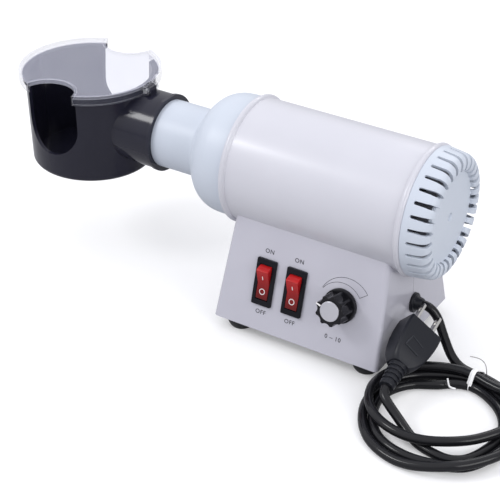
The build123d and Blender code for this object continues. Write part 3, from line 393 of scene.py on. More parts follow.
footRubber = makeFinish(
    "footRubber", (0.012, 0.012, 0.014), (0.02, 0.02, 0.022),
    roughness=0.6, relief=0.03, grain=1.0, sheen=0.1, specular=0.3,
)
bladeMetal = makeFinish(
    "bladeMetal", (0.74, 0.73, 0.71), (0.66, 0.64, 0.61), roughness=0.2, scratch=0.12, metallic=1.0, relief=0.003
)
screwMetal = makeFinish(
    "screwMetal", (0.62, 0.62, 0.63), (0.5, 0.5, 0.52), roughness=0.28, scratch=0.1, metallic=1.0, relief=0.006
)
plateMetal = makeFinish(
    "plateMetal", (0.55, 0.56, 0.58), (0.46, 0.47, 0.5), roughness=0.4, scratch=0.08, metallic=0.9, relief=0.01
)
brassMetal = makeFinish(
    "brassMetal", (0.72, 0.56, 0.28), (0.6, 0.45, 0.22), roughness=0.32, metallic=1.0, relief=0.006
)
wireMetal = makeFinish(
    "wireMetal", (0.34, 0.3, 0.28), (0.24, 0.22, 0.24), roughness=0.45, metallic=1.0, relief=0.01
)
tieWire = makeFinish(
    "tieWire", (0.42, 0.4, 0.4), (0.3, 0.29, 0.29), roughness=0.4, metallic=0.6, relief=0.006
)
micaSheet = makeFinish(
    "micaSheet", (0.6, 0.52, 0.36), (0.5, 0.42, 0.28), roughness=0.35, patchScale=90, speck=0.5, relief=0.02
)
fanPlastic = makeFinish("fanPlastic", (0.06, 0.06, 0.065), (0.08, 0.08, 0.085), roughness=0.5, relief=0.02)
boardResin = makeFinish(
    "boardResin", (0.03, 0.16, 0.06), (0.04, 0.2, 0.08), roughness=0.35, patchScale=160, speck=0.4
)
componentPlastic = makeFinish("componentPlastic", (0.04, 0.07, 0.25), (0.06, 0.09, 0.3), roughness=0.4)
tiePaper = makeFinish("tiePaper", (0.93, 0.93, 0.93), (0.9, 0.9, 0.91), roughness=0.6, grain=1.0, relief=0.02)
markPaint = makeFinish("markPaint", (0.9, 0.89, 0.88), (0.82, 0.8, 0.8), roughness=0.4, relief=0.004)
panelInk = makeFinish("panelInk", (0.02, 0.02, 0.028), (0.035, 0.035, 0.045), roughness=0.5, relief=0.004, speck=0.5)
seamShade = makeFinish("seamShade", (0.12, 0.12, 0.14), (0.17, 0.17, 0.19), roughness=0.6, relief=0.004)


# spun aluminium: fine rings about the knob's axis, so the light runs across it in two fans
capValues = {"centre": (27.1, 33.9, 15.7), "pitch": 0.28, "depth": 0.004}


def makeCapFinish(values):
    material = makeFinish(
        "capMetal", (0.66, 0.66, 0.70), (0.6, 0.6, 0.65), roughness=0.3, scratch=0.06, metallic=0.85, relief=0.004
    )
    tree = material.node_tree
    shader = tree.nodes["Principled BSDF"]
    place = addNode(tree, "ShaderNodeTexCoord").outputs["Object"]
    centre = tuple(panelPoint(*values["centre"]))
    moved = addNode(tree, "ShaderNodeVectorMath", {0: place, 1: centre}, operation="SUBTRACT")
    reach = addNode(tree, "ShaderNodeVectorMath", {0: moved.outputs[0]}, operation="LENGTH")
    rings = mathNode(tree, "MULTIPLY", reach.outputs["Value"], 2 * math.pi / (values["pitch"] * mm))
    wave = mathNode(tree, "SINE", rings)
    bump = addNode(tree, "ShaderNodeBump", {"Height": wave, "Strength": 1.0, "Distance": values["depth"] * mm})
    tree.links.new(bump.outputs["Normal"], shader.inputs["Normal"])
    return material


capMetal = makeCapFinish(capValues)

nodeFinishes = [
    (barrelEnamel, "barrel_tube"), (shellEnamel, "base_front_shell base_rear_shell"),
    (palePlastic, "nozzle_housing vent_cap"), (bowlPlastic, "heat_bowl"), (lidPlastic, "clear_lid"),
    (screwMetal, "lid_hinge_pin foot_screws control_shaft control_nut control_washer"),
    (screwMetal, "motor_shaft bracket_screws board_screws heat_sink"),
    (plateMetal, "bottom_plate speed_control motor_body motor_bracket"), (footRubber, "rubber_feet"),
    (switchPlastic, "power_switch_body heat_switch_body thermal_cutout"), (rockerPlastic, "power_rocker heat_rocker"),
    (brassMetal, "switch_terminals board_standoffs"), (knobPlastic, "adjust_knob"), (capMetal, "knob_cap"),
    (plugRubber, "strain_relief plug_body"), (tiePaper, "cord_tie"), (bladeMetal, "plug_blades"),
    (fanPlastic, "fan_impeller"), (micaSheet, "heater_cards heater_sleeve"), (wireMetal, "heating_coil"),
    (boardResin, "control_board"), (componentPlastic, "board_components"),
]
for finish, names in nodeFinishes:
    for name in names.split():
        nodes[name].data.materials.clear()
        nodes[name].data.materials.append(finish)
say("finishes set")


# supply cord: one spline from the gland, through the coil's passes, into the plug's boot
cordValues = {
    "radius": 2.9,
    "length": 1.01,
    "coilCentre": (180.95, -52.56),
    "lead": [
        (139.0, 4.44, 32.45), (142.2, 4.6, 32.3), (145.4, 5.0, 30.2), (148.4, 5.2, 27.0), (151.2, 4.0, 23.6),
        (154.2, 2.0, 19.6), (159.4, -1.4, 13.6), (164.6, -4.2, 8.2), (171.0, -5.7, 4.3), (178.6, -6.0, 2.95),
    ],
    "tail": [
        (191.4, -86.4, 2.9), (182.0, -84.4, 3.0), (175.2, -81.4, 4.4), (168.4, -77.6, 6.6), (162.0, -74.2, 9.2),
        (156.4, -71.6, 11.8), (152.2, -69.4, 13.8), (149.8, -66.6, 15.4), (149.18, -62.2, 16.8),
    ],
    # each pass runs clockwise from the back: angle, then radius and height of the four passes there
    "passes": [
        (95, None, (39.0, 8.75), (40.4, 2.9), (33.6, 2.9)),
        (86, (46.9, 2.9), (38.4, 8.6), (41.0, 2.9), (35.2, 2.9)),
        (70, (46.4, 2.9), (37.6, 8.3), (40.4, 2.9), (34.5, 2.9)),
        (58, (46.5, 3.0), (39.2, 8.8), (40.1, 2.9), (34.1, 2.9)),
        (45, (46.8, 3.2), (45.4, 9.7), (40.3, 2.9), (34.4, 2.9)),
        (35, (47.0, 4.3), (49.9, 10.2), (40.5, 2.9), (34.7, 2.9)),
        (25, (46.3, 6.8), (52.4, 8.6), (41.0, 2.9), (35.1, 2.9)),
        (15, (44.2, 8.8), (52.2, 7.8), (41.6, 2.9), (35.7, 2.9)),
        (0, (38.6, 9.3), (50.6, 7.9), (42.8, 2.9), (36.6, 2.9)),
        (-20, (34.2, 9.0), (49.4, 8.0), (43.2, 2.9), (37.0, 2.9)),
        (-40, (31.8, 8.8), (49.9, 8.0), (46.0, 2.9), (40.0, 2.9)),
        (-52, (31.2, 8.8), (51.0, 8.0), (47.6, 2.9), (41.6, 2.9)),
        (-62, (31.3, 8.8), (52.0, 8.0), (45.8, 2.9), (39.6, 2.9)),
        (-70, (31.9, 8.8), (52.4, 7.6), (44.6, 2.9), (36.6, 2.9)),
        (-80, (33.0, 8.8), (51.9, 5.0), (44.5, 2.9), None),
        (-93, (34.6, 8.8), (51.3, 2.9), (44.2, 2.9), None),
        (-118, (37.8, 8.8), (49.8, 2.9), (43.8, 2.9), None),
        (-142, (41.1, 8.8), (46.4, 2.9), (40.5, 2.9), None),
        (-160, (43.0, 8.7), (44.8, 2.9), (38.95, 2.9), None),
        (-180, (44.2, 8.7), (43.6, 2.9), (37.4, 2.9), None),
        (-210, (43.2, 8.7), (41.4, 2.9), (33.0, 2.9), None),
        (-237, (39.6, 8.8), (38.6, 2.9), (28.2, 2.9), None),
        (-265, (39.0, 8.75), (40.4, 2.9), (33.6, 2.9), None),
    ],
    "step": 12,
}


def betweenKnots(knots, angle):
    for (start, first), (end, last) in zip(knots, knots[1:]):
        if end <= angle <= start:
            share = (start - angle) / (start - end)
            return [a + (b - a) * share for a, b in zip(first, last)]
    raise ValueError(angle)


def coilPoints(values):
    points = []
    centreX, centreY = values["coilCentre"]
    passes = len(values["passes"][0]) - 1
    for turn in range(passes):
        knots = [(row[0], row[turn + 1]) for row in values["passes"] if row[turn + 1]]
        angle, last = knots[0][0], knots[-1][0]
        while angle > last + 0.01 or (turn == passes - 1 and angle >= last):
            radius, height = betweenKnots(knots, angle)
            turned = math.radians(angle)
            points.append((centreX + radius * math.cos(turned), centreY + radius * math.sin(turned), height))
            angle -= values["step"]
    return points


def roundCurve(name, points, radius, along, around):
    curve = bpy.data.curves.new(name, "CURVE")
    curve.dimensions = "3D"
    spline = curve.splines.new("NURBS")
    spline.points.add(len(points) - 1)
    for point, place in zip(spline.points, points):
        point.co = (*(Vector(place) * mm), 1)
    spline.order_u = 3
    spline.use_endpoint_u = True
    spline.resolution_u = along
    curve.bevel_depth = radius * mm
    curve.bevel_resolution = around
    curve.use_fill_caps = True
    return curve


def makeCord(values):
    points = values["lead"] + coilPoints(values) + values["tail"]
    curve = roundCurve("supplyCord", points, values["radius"], 8, 6)
    cord = newObject("supplyCord", curve)
    curve.materials.append(cordRubber)
    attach(cord, "housing")
    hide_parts("cord_lead", "cord_coil", "cord_tail")
    return cord


supplyCord = makeCord(cordValues)
say("cord laid")


def linkPiece(name, mesh, body, replaced=(), finishes=()):
    piece = newObject(name, mesh)
    if finishes:
        mesh.materials.clear()
        for finish in finishes:
            mesh.materials.append(finish)
    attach(piece, body)
    if replaced:
        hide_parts(*replaced)
    return piece


def plainMesh(helper, name):
    bpy.context.view_layer.update()
    mesh = bpy.data.meshes.new_from_object(helper.evaluated_get(bpy.context.evaluated_depsgraph_get()))
    mesh.name = name
    bpy.data.objects.remove(helper)
    return mesh


def meshFrom(work, name):
    mesh = bpy.data.meshes.new(name)
    work.to_mesh(mesh)
    work.free()
    return mesh


# closed rings of vertices joined by quads: round a loop, or from end to end with caps
def skinRings(work, rings, closed):
    for here, there in list(zip(rings, rings[1:])) + ([(rings[-1], rings[0])] if closed else []):
        for i in range(len(here)):
            j = (i + 1) % len(here)
            work.faces.new((here[i], here[j], there[j], there[i]))
    if not closed:
        work.faces.new(rings[0])
        work.faces.new(rings[-1])
    bmesh.ops.recalc_face_normals(work, faces=work.faces)


# open rows of vertices joined by quads, apart from the quads that skip names
def skinRows(work, rows, skip=lambda row, column: False):
    for row, (here, there) in enumerate(zip(rows, rows[1:])):
        for column in range(len(here) - 1):
            if not skip(row, column):
                work.faces.new((here[column], here[column + 1], there[column + 1], there[column]))


def roundEdges(mesh, name, width, segments=2, angle=32, bevelFinish=-1, wall=0.0):
    helper = newObject(name, mesh)
    if wall:
        solid = helper.modifiers.new("wall", "SOLIDIFY")
        solid.thickness = wall * mm
        solid.offset = -1
    bevel = helper.modifiers.new("edges", "BEVEL")
    bevel.width = width * mm
    bevel.segments = segments
    bevel.limit_method = "ANGLE"
    bevel.angle_limit = math.radians(angle)
    bevel.material = bevelFinish
    even = helper.modifiers.new("evenShading", "WEIGHTED_NORMAL")
    even.keep_sharp = False
    return plainMesh(helper, name)


def nodeCopy(nodeName, name, finishes, sorter=None):
    work = bmesh.new()
    work.from_mesh(nodes[nodeName].data)
    bmesh.ops.remove_doubles(work, verts=work.verts, dist=1e-6)
    bmesh.ops.dissolve_limit(
        work, angle_limit=math.radians(0.3), verts=work.verts, edges=work.edges, delimit={"NORMAL"}
    )
    for face in work.faces:
        face.smooth = True
        face.material_index = sorter(face) if sorter else 0
    mesh = meshFrom(work, name)
    for finish in finishes:
        mesh.materials.append(finish)
    return mesh


def roundedNode(nodeName, name, body, slot, finishes, width, sorter=None, **changes):
    mesh = roundEdges(nodeCopy(nodeName, name, finishes, sorter), name, width, **changes)
    return linkPiece(name, mesh, body, (nodeName,))


def arcPoints(first, middle, last, count):
    (ax, ay), (bx, by), (cx, cy) = first, middle, last
    d = 2 * (ax * (by - cy) + bx * (cy - ay) + cx * (ay - by))
    ux = ((ax**2 + ay**2) * (by - cy) + (bx**2 + by**2) * (cy - ay) + (cx**2 + cy**2) * (ay - by)) / d
    uy = ((ax**2 + ay**2) * (cx - bx) + (bx**2 + by**2) * (ax - cx) + (cx**2 + cy**2) * (bx - ax)) / d
    start = math.atan2(ay - uy, ax - ux)
    through = (math.atan2(by - uy, bx - ux) - start) % (2 * math.pi)
    sweep = (math.atan2(cy - uy, cx - ux) - start) % (2 * math.pi)
    if through > sweep:
        sweep -= 2 * math.pi
    radius = math.hypot(ax - ux, ay - uy)
    return [
        (ux + radius * math.cos(start + sweep * i / count), uy + radius * math.sin(start + sweep * i / count))
        for i in range(count + 1)
    ]


def smoothLine(places, steps):
    line = []
    ends = [places[0], *places, places[-1]]
    for before, here, there, after in zip(ends, ends[1:], ends[2:], ends[3:]):
        for step in range(steps):
            t = step / steps
            line.append(tuple(
                0.5 * (2 * b + (c - a) * t + (2 * a - 5 * b + 4 * c - d) * t**2 + (3 * b - a - 3 * c + d) * t**3)
                for a, b, c, d in zip(before, here, there, after)
            ))
    return line + [places[-1]]


def smoothShade(mesh, angle=34):
    mesh.shade_smooth()
    mesh.set_sharp_from_angle(angle=math.radians(angle))


def spunMesh(name, profile, segments=160):
    work = bmesh.new()
    rings = []
    for step in range(segments):
        turn = 2 * math.pi * step / segments
        rings.append([
            work.verts.new((x * mm, middleY + r * mm * math.cos(turn), axisZ + r * mm * math.sin(turn)))
            for x, r in profile
        ])
    skinRings(work, rings, True)
    mesh = meshFrom(work, name)
    smoothShade(mesh)
    return mesh


# barrel: a rolled sheet tube with a bead at each end
barrelValues = {
    "radius": 39.1, "bore": 37.9, "bead": 1.568, "beadWidth": 4.2, "beadSteps": 10, "beadFullness": 0.75, "lip": 0.5,
    "plainFrom": 8.0,
}


def makeBarrel(values):
    radius, bore, bead, width = (values[key] for key in ("radius", "bore", "bead", "beadWidth"))
    steps, plain = values["beadSteps"], values["plainFrom"]
    firstBead = []
    for i in range(steps + 1):
        share = i / steps
        rise = math.sin(math.pi * share) ** values["beadFullness"] if 0 < share < 1 else 0.0
        firstBead.append((barrelStart + width * share, radius + values["lip"] * (1 - share) + bead * rise))
    lastBead = [(barrelStart + barrelEnd - x, r) for x, r in reversed(firstBead)]
    profile = firstBead + [(barrelStart + plain, radius), (barrelEnd - plain, radius)] + lastBead
    profile += [(barrelEnd, bore), (barrelStart, bore)]
    mesh = spunMesh("barrelSleeve", profile)
    linkPiece("barrelSleeve", mesh, "housing", ("barrel_tube",), (barrelEnamel,))


# nozzle: neck, flared shoulder and the spigot that enters the barrel
nozzleValues = {
    "neck": 22.0, "wall": 2.0, "shoulder": 38.5, "length": 32.5, "spigot": 10.0, "spigotRadius": 37.8,
    "start": -63.55, "lip": 0.6, "corner": 0.4,
    # along the shoulder's length, and how far out it has come
    "shoulderLine": [
        (-0.05, 0.0), (0.015, 0.012), (0.055, 0.06), (0.095, 0.16), (0.135, 0.3), (0.185, 0.47), (0.25, 0.63),
        (0.34, 0.785), (0.45, 0.9), (0.58, 0.975), (0.74, 1.0),
    ],
    "shoulderSteps": 4, "innerStart": 0.74, "innerMiddle": (0.24, 0.61), "innerSteps": 16,
}


def makeNozzle(values):
    neck, wall, shoulder, length = (values[key] for key in ("neck", "wall", "shoulder", "length"))
    neckEnd = barrelStart - length
    rise = shoulder - neck
    mouth, lip, corner = values["start"], values["lip"], values["corner"]
    spigot, spigotEnd = values["spigotRadius"], barrelStart + values["spigot"]
    line = [(neckEnd + length * along, neck + rise * out) for along, out in values["shoulderLine"]]
    outer = smoothLine(line, values["shoulderSteps"])
    along, out = values["innerMiddle"]
    inner = arcPoints(
        (neckEnd + values["innerStart"] * length, spigot - wall),
        (neckEnd + along * length + wall, neck + out * rise - wall),
        (neckEnd + wall / 2, neck - wall), values["innerSteps"],
    )
    profile = [
        (mouth, neck - lip), (mouth + lip, neck), *outer,
        (barrelStart - corner, shoulder), (barrelStart, shoulder - corner), (barrelStart, spigot),
        (spigotEnd, spigot), (spigotEnd, spigot - wall), *inner, (mouth, neck - wall),
    ]
    mesh = spunMesh("airNozzle", profile)
    linkPiece("airNozzle", mesh, "housing", ("nozzle_housing",), (palePlastic,))


# one sector of a round piece, copied round an axis and welded
def buildTurnTree():
    tree, start, end = newGroup(
        "turnedCopies",
        "GeometryNodeTree",
        [
            ("Geometry", "NodeSocketGeometry", None),
            ("Count", "NodeSocketInt", 30),
            ("First Angle", "NodeSocketFloat", 0.0),
            ("Centre", "NodeSocketVector", (0, 0, 0)),
            ("Axis", "NodeSocketVector", (1, 0, 0)),
            ("Weld", "NodeSocketFloat", 0.00002),
            ("Finish", "NodeSocketMaterial", None),
        ],
        [("Geometry", "NodeSocketGeometry")],
    )
    given = start.outputs
    points = addNode(tree, "GeometryNodePoints", {"Count": given["Count"], "Position": given["Centre"]})
    index = addNode(tree, "GeometryNodeInputIndex")
    share = mathNode(tree, "DIVIDE", index.outputs[0], given["Count"])
    angle = mathNode(tree, "MULTIPLY_ADD", share, 2 * math.pi, given["First Angle"])
    turned = addNode(tree, "FunctionNodeAxisAngleToRotation", {"Axis": given["Axis"], "Angle": angle})
    placed = addNode(
        tree, "GeometryNodeInstanceOnPoints",
        {"Points": points.outputs[0], "Instance": given["Geometry"], "Rotation": turned.outputs[0]},
    )
    real = addNode(tree, "GeometryNodeRealizeInstances", {"Geometry": placed.outputs[0]})
    welded = addNode(tree, "GeometryNodeMergeByDistance", {"Geometry": real.outputs[0], "Distance": given["Weld"]})
    finished = addNode(tree, "GeometryNodeSetMaterial", {"Geometry": welded.outputs[0], "Material": given["Finish"]})
    tree.links.new(finished.outputs[0], end.inputs["Geometry"])
    return tree


def runTree(helper, tree, settings):
    modifier = helper.modifiers.new("copies", "NODES")
    modifier.node_group = tree
    for item in tree.interface.items_tree:
        if item.item_type == "SOCKET" and item.in_out == "INPUT" and item.name in settings:
            modifier[item.identifier] = settings[item.name]
    return plainMesh(helper, helper.name)


turnTree = buildTurnTree()


def outwardMesh(mesh, inside):
    work = bmesh.new()
    work.from_mesh(mesh)
    bmesh.ops.remove_doubles(work, verts=work.verts, dist=5e-6)
    bmesh.ops.recalc_face_normals(work, faces=work.faces)
    tally = sum((face.calc_center_median() - inside).dot(face.normal) * face.calc_area() for face in work.faces)
    if tally < 0:
        bmesh.ops.reverse_faces(work, faces=work.faces)
    for face in work.faces:
        face.smooth = True
    work.to_mesh(mesh)
    work.free()


# inlet cap: thirty sectors, each with half a land either side of one slot
ventValues = {
    "count": 30, "slotTurn": 181.0, "slotHalf": 1.05, "crownHalf": 1.35, "slotStart": 4.0,
    "wall": 2.0, "edge": 0.42, "landSteps": 4,
    "rim": 40.1, "side": 38.6, "sideLength": 11.5, "crown": 32.4, "lip": 31.0, "dish": 28.0, "dishDepth": 3.3,
    "dishRings": (27.4, 22.0, 14.0, 7.0, 3.4), "dimple": 2.7, "dimpleDepth": 1.7,
    "rimRound": 0.5, "crownSteps": 8, "lipSteps": 6,
    # beside the slots: distance past the barrel's end or the slots' start, and share of the slot's half width
    "wallRows": [(0.0, 1.0), (0.5, 1.0), (2.5, 1.0)],
    "slotRows": [(-1.2, 0.7), (-0.4, 0.35), (0.0, 0.0), (0.14, 0.5), (0.45, 0.82), (1.05, 1.0), (3.0, 1.0)],
}


# stations from the rim to the middle: x, radius, half the slot's angle, and whether the slot is open there
def ventStations(values):
    half, crown, first = values["slotHalf"], values["crownHalf"], barrelEnd + values["slotStart"]
    sideEnd = barrelEnd + values["sideLength"]
    dishX = ventEnd - values["dishDepth"]

    def sideRadius(x):
        return values["rim"] + (values["side"] - values["rim"]) * (x - barrelEnd) / values["sideLength"]

    side = [(barrelEnd + x, half * share) for x, share in values["wallRows"]]
    side += [(first + x, half * share) for x, share in values["slotRows"]]
    side.append((sideEnd, (half + crown) / 2))
    rows = [(x, sideRadius(x), math.asin(width / sideRadius(x)), first <= x) for x, width in side]
    rows[0] = (barrelEnd, values["rim"] - values["rimRound"], rows[0][2], False)
    bend = math.sqrt(0.5)
    rounding = arcPoints(
        (sideEnd, values["side"]),
        (sideEnd + bend * (ventEnd - sideEnd), values["side"] - (1 - bend) * (values["side"] - values["crown"])),
        (ventEnd, values["crown"]), values["crownSteps"],
    )[1:]
    lip = arcPoints(
        (ventEnd, values["lip"]),
        (ventEnd - (1 - bend) * values["dishDepth"], values["lip"] - bend * (values["lip"] - values["dish"])),
        (dishX, values["dish"]), values["lipSteps"],
    )
    for place, (x, r) in enumerate(rounding + lip):
        rows.append((x, r, math.asin(crown / r), place < len(rounding) + len(lip) - 1))
    steady = math.asin(crown / values["dish"])
    dimple, dimpleX = values["dimple"], dishX - values["dimpleDepth"]
    places = [(dishX, r) for r in (*values["dishRings"], dimple + 0.2)]
    places += [(dishX - 0.25, dimple - 0.1), (dimpleX + 0.2, dimple - 0.4), (dimpleX, dimple - 0.9), (dimpleX, 0.0)]
    return rows + [(x, r, steady, False) for x, r in places]


def makeVentCap(values):
    rows, landSteps = ventStations(values), values["landSteps"]
    work = bmesh.new()
    grid = []
    edge = math.pi / values["count"]
    for x, r, slotAngle, _ in rows:
        angles = [slotAngle + (edge - slotAngle) * step / landSteps for step in range(landSteps + 1)]
        angles = [-angle for angle in reversed(angles)] + angles
        grid.append([work.verts.new((x * mm, r * mm * math.cos(a), r * mm * math.sin(a))) for a in angles])
    skinRows(work, grid, lambda row, column: column == landSteps and rows[row][3])
    mesh = runTree(newObject("inletCap", meshFrom(work, "inletCap")), turnTree, {
        "Count": values["count"], "First Angle": math.radians(values["slotTurn"]),
        "Centre": (0.0, middleY, axisZ), "Axis": (1.0, 0.0, 0.0), "Finish": palePlastic,
    })
    outwardMesh(mesh, Vector((barrelEnd * mm, middleY, axisZ)))
    mesh = roundEdges(mesh, "inletCap", values["edge"], angle=42, wall=values["wall"])
    linkPiece("inletCap", mesh, "housing", ("vent_cap",), (palePlastic,))


# knob: nine grips round a skirt, with a pointer
knobValues = {
    "x": 27.1, "up": 33.9, "count": 9, "grip": 9.8, "fluteCentre": 11.6, "flute": 3.4, "soft": 0.5, "steps": 20,
    "bottom": 0.35, "top": 15.4, "skirt": 10.8, "skirtTop": 3.35, "recess": 7.2, "recessTop": 5.05,
    "capSeat": 6.28, "capDepth": 1.5, "fluteDraw": 0.4, "underRound": 0.4, "seatRound": 0.15,
    # the skirt's rounded edge: distance in from its side and down from its top
    "skirtRound": [(0.0, 0.5), (0.15, 0.12), (0.5, 0.0)],
    # the fluted side: height above the skirt or below the top, and how far it draws in
    "sideFoot": [(0.0, -0.05), (0.3, 0.0), (5.65, 0.08)],
    "sideHead": [(0.7, 0.15), (0.25, 0.3), (0.05, 0.6), (0.0, 0.95)],
    # the pointer's paint: one strip on the top and one down the side, which lap at the edge
    "pointer": 164.6, "pointerWidth": 1.0, "pointerStart": 0.15, "pointerTurn": 0.4, "pointerDrop": 2.6,
    "paintDeep": 0.1, "paintProud": 0.04, "paintLap": 0.05, "sideProud": 0.02, "sideTop": 0.35,
}


def gripRadius(values, angle, inset):
    off = math.pi / values["count"] - abs(angle)
    far, small = values["fluteCentre"], values["flute"] + inset * values["fluteDraw"]
    inside = small**2 - (far * math.sin(off)) ** 2
    flute = far * math.cos(off) - math.sqrt(inside) if inside > 0 else far
    grip = values["grip"] - inset
    blend = max(0.0, values["soft"] - abs(flute - grip)) / values["soft"]
    return min(flute, grip) - blend**2 * values["soft"] / 4


# profile from the underside to the cap's seat: radius, height, or the inset of the fluted side
def makeKnob(values):
    top, seat, skirt = values["top"], values["capSeat"], values["skirt"]
    bottom, ledge, seatRound = values["bottom"], values["skirtTop"], values["seatRound"]
    rows = [
        (0.0, values["recessTop"], None), (values["recess"], values["recessTop"], None),
        (values["recess"], bottom, None), (skirt - values["underRound"], bottom, None),
        (skirt, bottom + values["underRound"], None),
        *[(skirt - inward, ledge - down, None) for inward, down in values["skirtRound"]],
        *[(None, ledge + rise, inset) for rise, inset in values["sideFoot"]],
        *[(None, top - drop, inset) for drop, inset in values["sideHead"]],
        (seat + seatRound, top, None), (seat, top - seatRound, None), (seat, top - values["capDepth"], None),
        (0.0, top - values["capDepth"], None),
    ]
    steps = values["steps"]
    work = bmesh.new()
    grid = []
    for radius, out, inset in rows:
        line = []
        for step in range(steps + 1):
            angle = (step / steps - 0.5) * 2 * math.pi / values["count"]
            r = gripRadius(values, angle, inset) if radius is None else radius
            place = Vector((r * math.cos(angle) * mm, 0, 0)) + panelUp * (r * math.sin(angle) * mm)
            line.append(work.verts.new(place + panelOut * (out * mm)))
        grid.append(line)
    skinRows(work, grid)
    centre = panelPoint(values["x"], values["up"])
    mesh = runTree(newObject("controlKnob", meshFrom(work, "controlKnob")), turnTree, {
        "Count": values["count"], "First Angle": math.radians(values["pointer"]),
        "Centre": tuple(centre), "Axis": tuple(panelOut), "Finish": knobPlastic,
    })
    outwardMesh(mesh, centre + panelOut * (8 * mm))
    smoothShade(mesh, 40)
    linkPiece("controlKnob", mesh, "knob", ("adjust_knob",), (knobPlastic,))


def solidStrip(places, width, low, high, closed=False):
    work = bmesh.new()
    count = len(places)
    rails = []
    for i, (x, y) in enumerate(places):
        before = places[i - 1] if i or closed else places[i]
        after = places[(i + 1) % count] if i < count - 1 or closed else places[i]
        run = Vector((after[0] - before[0], after[1] - before[1])).normalized()
        side = Vector((-run.y, run.x)) * (width / 2)
        rails.append([
            work.verts.new((x + side.x, y + side.y, low)), work.verts.new((x + side.x, y + side.y, high)),
            work.verts.new((x - side.x, y - side.y, high)), work.verts.new((x - side.x, y - side.y, low)),
        ])
    skinRings(work, rails, closed)
    return meshFrom(work, "strip")


def planeMatrix(origin, along, upward):
    matrix = Matrix((along * mm, upward * mm, along.cross(upward).normalized() * mm)).transposed().to_4x4()
    matrix.translation = origin
    return matrix


def joinMeshes(name, meshes):
    work = bmesh.new()
    for mesh in meshes:
        work.from_mesh(mesh)
    return meshFrom(work, name)


panelMatrix = planeMatrix(panelMiddle, Vector((1, 0, 0)), panelUp)

# printing on the panel: legends and the crescent over the knob
printValues = {
    "legends": [
        ("ON", -25.4, 52.0), ("ON", -4.7, 52.0), ("OFF", -25.4, 12.2), ("OFF", -4.8, 12.1), ("0 – 10", 25.4, 11.8),
    ],
    "letter": 3.85, "spread": 1.12, "bold": 0.016, "ink": (-0.02, 0.03), "line": 0.3,
    # each arc of the crescent: centre, radius, first and last angle, steps
    "outer": ((29.29, 34.15), 17.52, 156.7, 39.8, 36), "inner": ((26.13, 32.76), 15.0, 147.1, 37.3, 30),
}


def letterMesh(text, size, spread, bold, ink):
    curve = bpy.data.curves.new("legend", "FONT")
    curve.body = text
    curve.size = size
    curve.align_x, curve.align_y = "CENTER", "CENTER"
    curve.space_character = spread
    curve.offset = bold * size
    curve.extrude = (ink[1] - ink[0]) / 2
    curve.resolution_u = 4
    mesh = plainMesh(newObject("legend", curve), "legend")
    mesh.transform(Matrix.Translation((0, 0, (ink[0] + ink[1]) / 2)))
    return mesh


def makePrinting(values):
    meshes = []
    for text, x, up in values["legends"]:
        mesh = letterMesh(text, values["letter"], values["spread"], values["bold"], values["ink"])
        mesh.transform(Matrix.Translation((x, up, 0)))
        meshes.append(mesh)
    arcs = []
    for key in ("outer", "inner"):
        (x, up), radius, first, last, count = values[key]
        turns = [math.radians(first + (last - first) * i / count) for i in range(count + 1)]
        arcs.append([(x + radius * math.cos(a), up + radius * math.sin(a)) for a in turns])
    outer, inner = arcs[0], arcs[1][::-1]
    low, high = values["ink"]
    # the strips that overlap at the corners differ in height
    for line, share in ((outer, 1.0), ([outer[-1], inner[0]], 0.9), (inner, 0.8)):
        meshes.append(solidStrip(line, values["line"], low, high * share))
    mesh = joinMeshes("panelPrint", meshes)
    mesh.transform(panelMatrix)
    linkPiece("panelPrint", mesh, "housing", (), (panelInk,))


# rockers: a bar on the raised half and a ring on the pressed half
rockerValues = {
    "switches": {"power": -25.5, "heat": -4.6}, "up": 32.0, "tilt": 13.0, "pivotOut": -0.8257, "valley": 2.9,
    "bodyEdge": 0.3, "edge": 0.35, "deep": -0.03, "proud": 0.035, "ringSteps": 40,
    # place along the rocker, length or radius, and width
    "bar": (4.6, 2.9, 0.5), "ring": (-5.2, 1.75, 0.42),
}


def makeRockers(values):
    tilt = math.radians(values["tilt"])
    for name, x in values["switches"].items():
        body = f"{name}_switch"
        roundedNode(
            f"{name}_switch_body", f"{name}SwitchBody", "housing", "switch_black", (switchPlastic,), values["bodyEdge"]
        )
        roundedNode(f"{name}_rocker", f"{name}Rocker", body, "rocker_red", (rockerPlastic,), values["edge"])
        pivot = panelPoint(x, values["up"], values["pivotOut"])
        along = panelUp * math.cos(tilt) + panelOut * math.sin(tilt)
        out = panelOut * math.cos(tilt) - panelUp * math.sin(tilt)
        valley = pivot + out * (values["valley"] * mm)
        upper = (along * math.cos(tilt) + out * math.sin(tilt)).normalized()
        lower = (along * math.cos(tilt) - out * math.sin(tilt)).normalized()
        middle, length, width = values["bar"]
        ends = [(0, middle - length / 2), (0, middle + length / 2)]
        bar = solidStrip(ends, width, values["deep"], values["proud"])
        bar.transform(planeMatrix(valley, Vector((1, 0, 0)), upper))
        middle, radius, width = values["ring"]
        turns = [2 * math.pi * i / values["ringSteps"] for i in range(values["ringSteps"])]
        loop = [(radius * math.cos(a), middle + radius * math.sin(a)) for a in turns]
        ring = solidStrip(loop, width, values["deep"], values["proud"], True)
        ring.transform(planeMatrix(valley, Vector((1, 0, 0)), lower))
        linkPiece(f"{name}RockerMarks", joinMeshes("marks", [bar, ring]), body, (), (markPaint,))


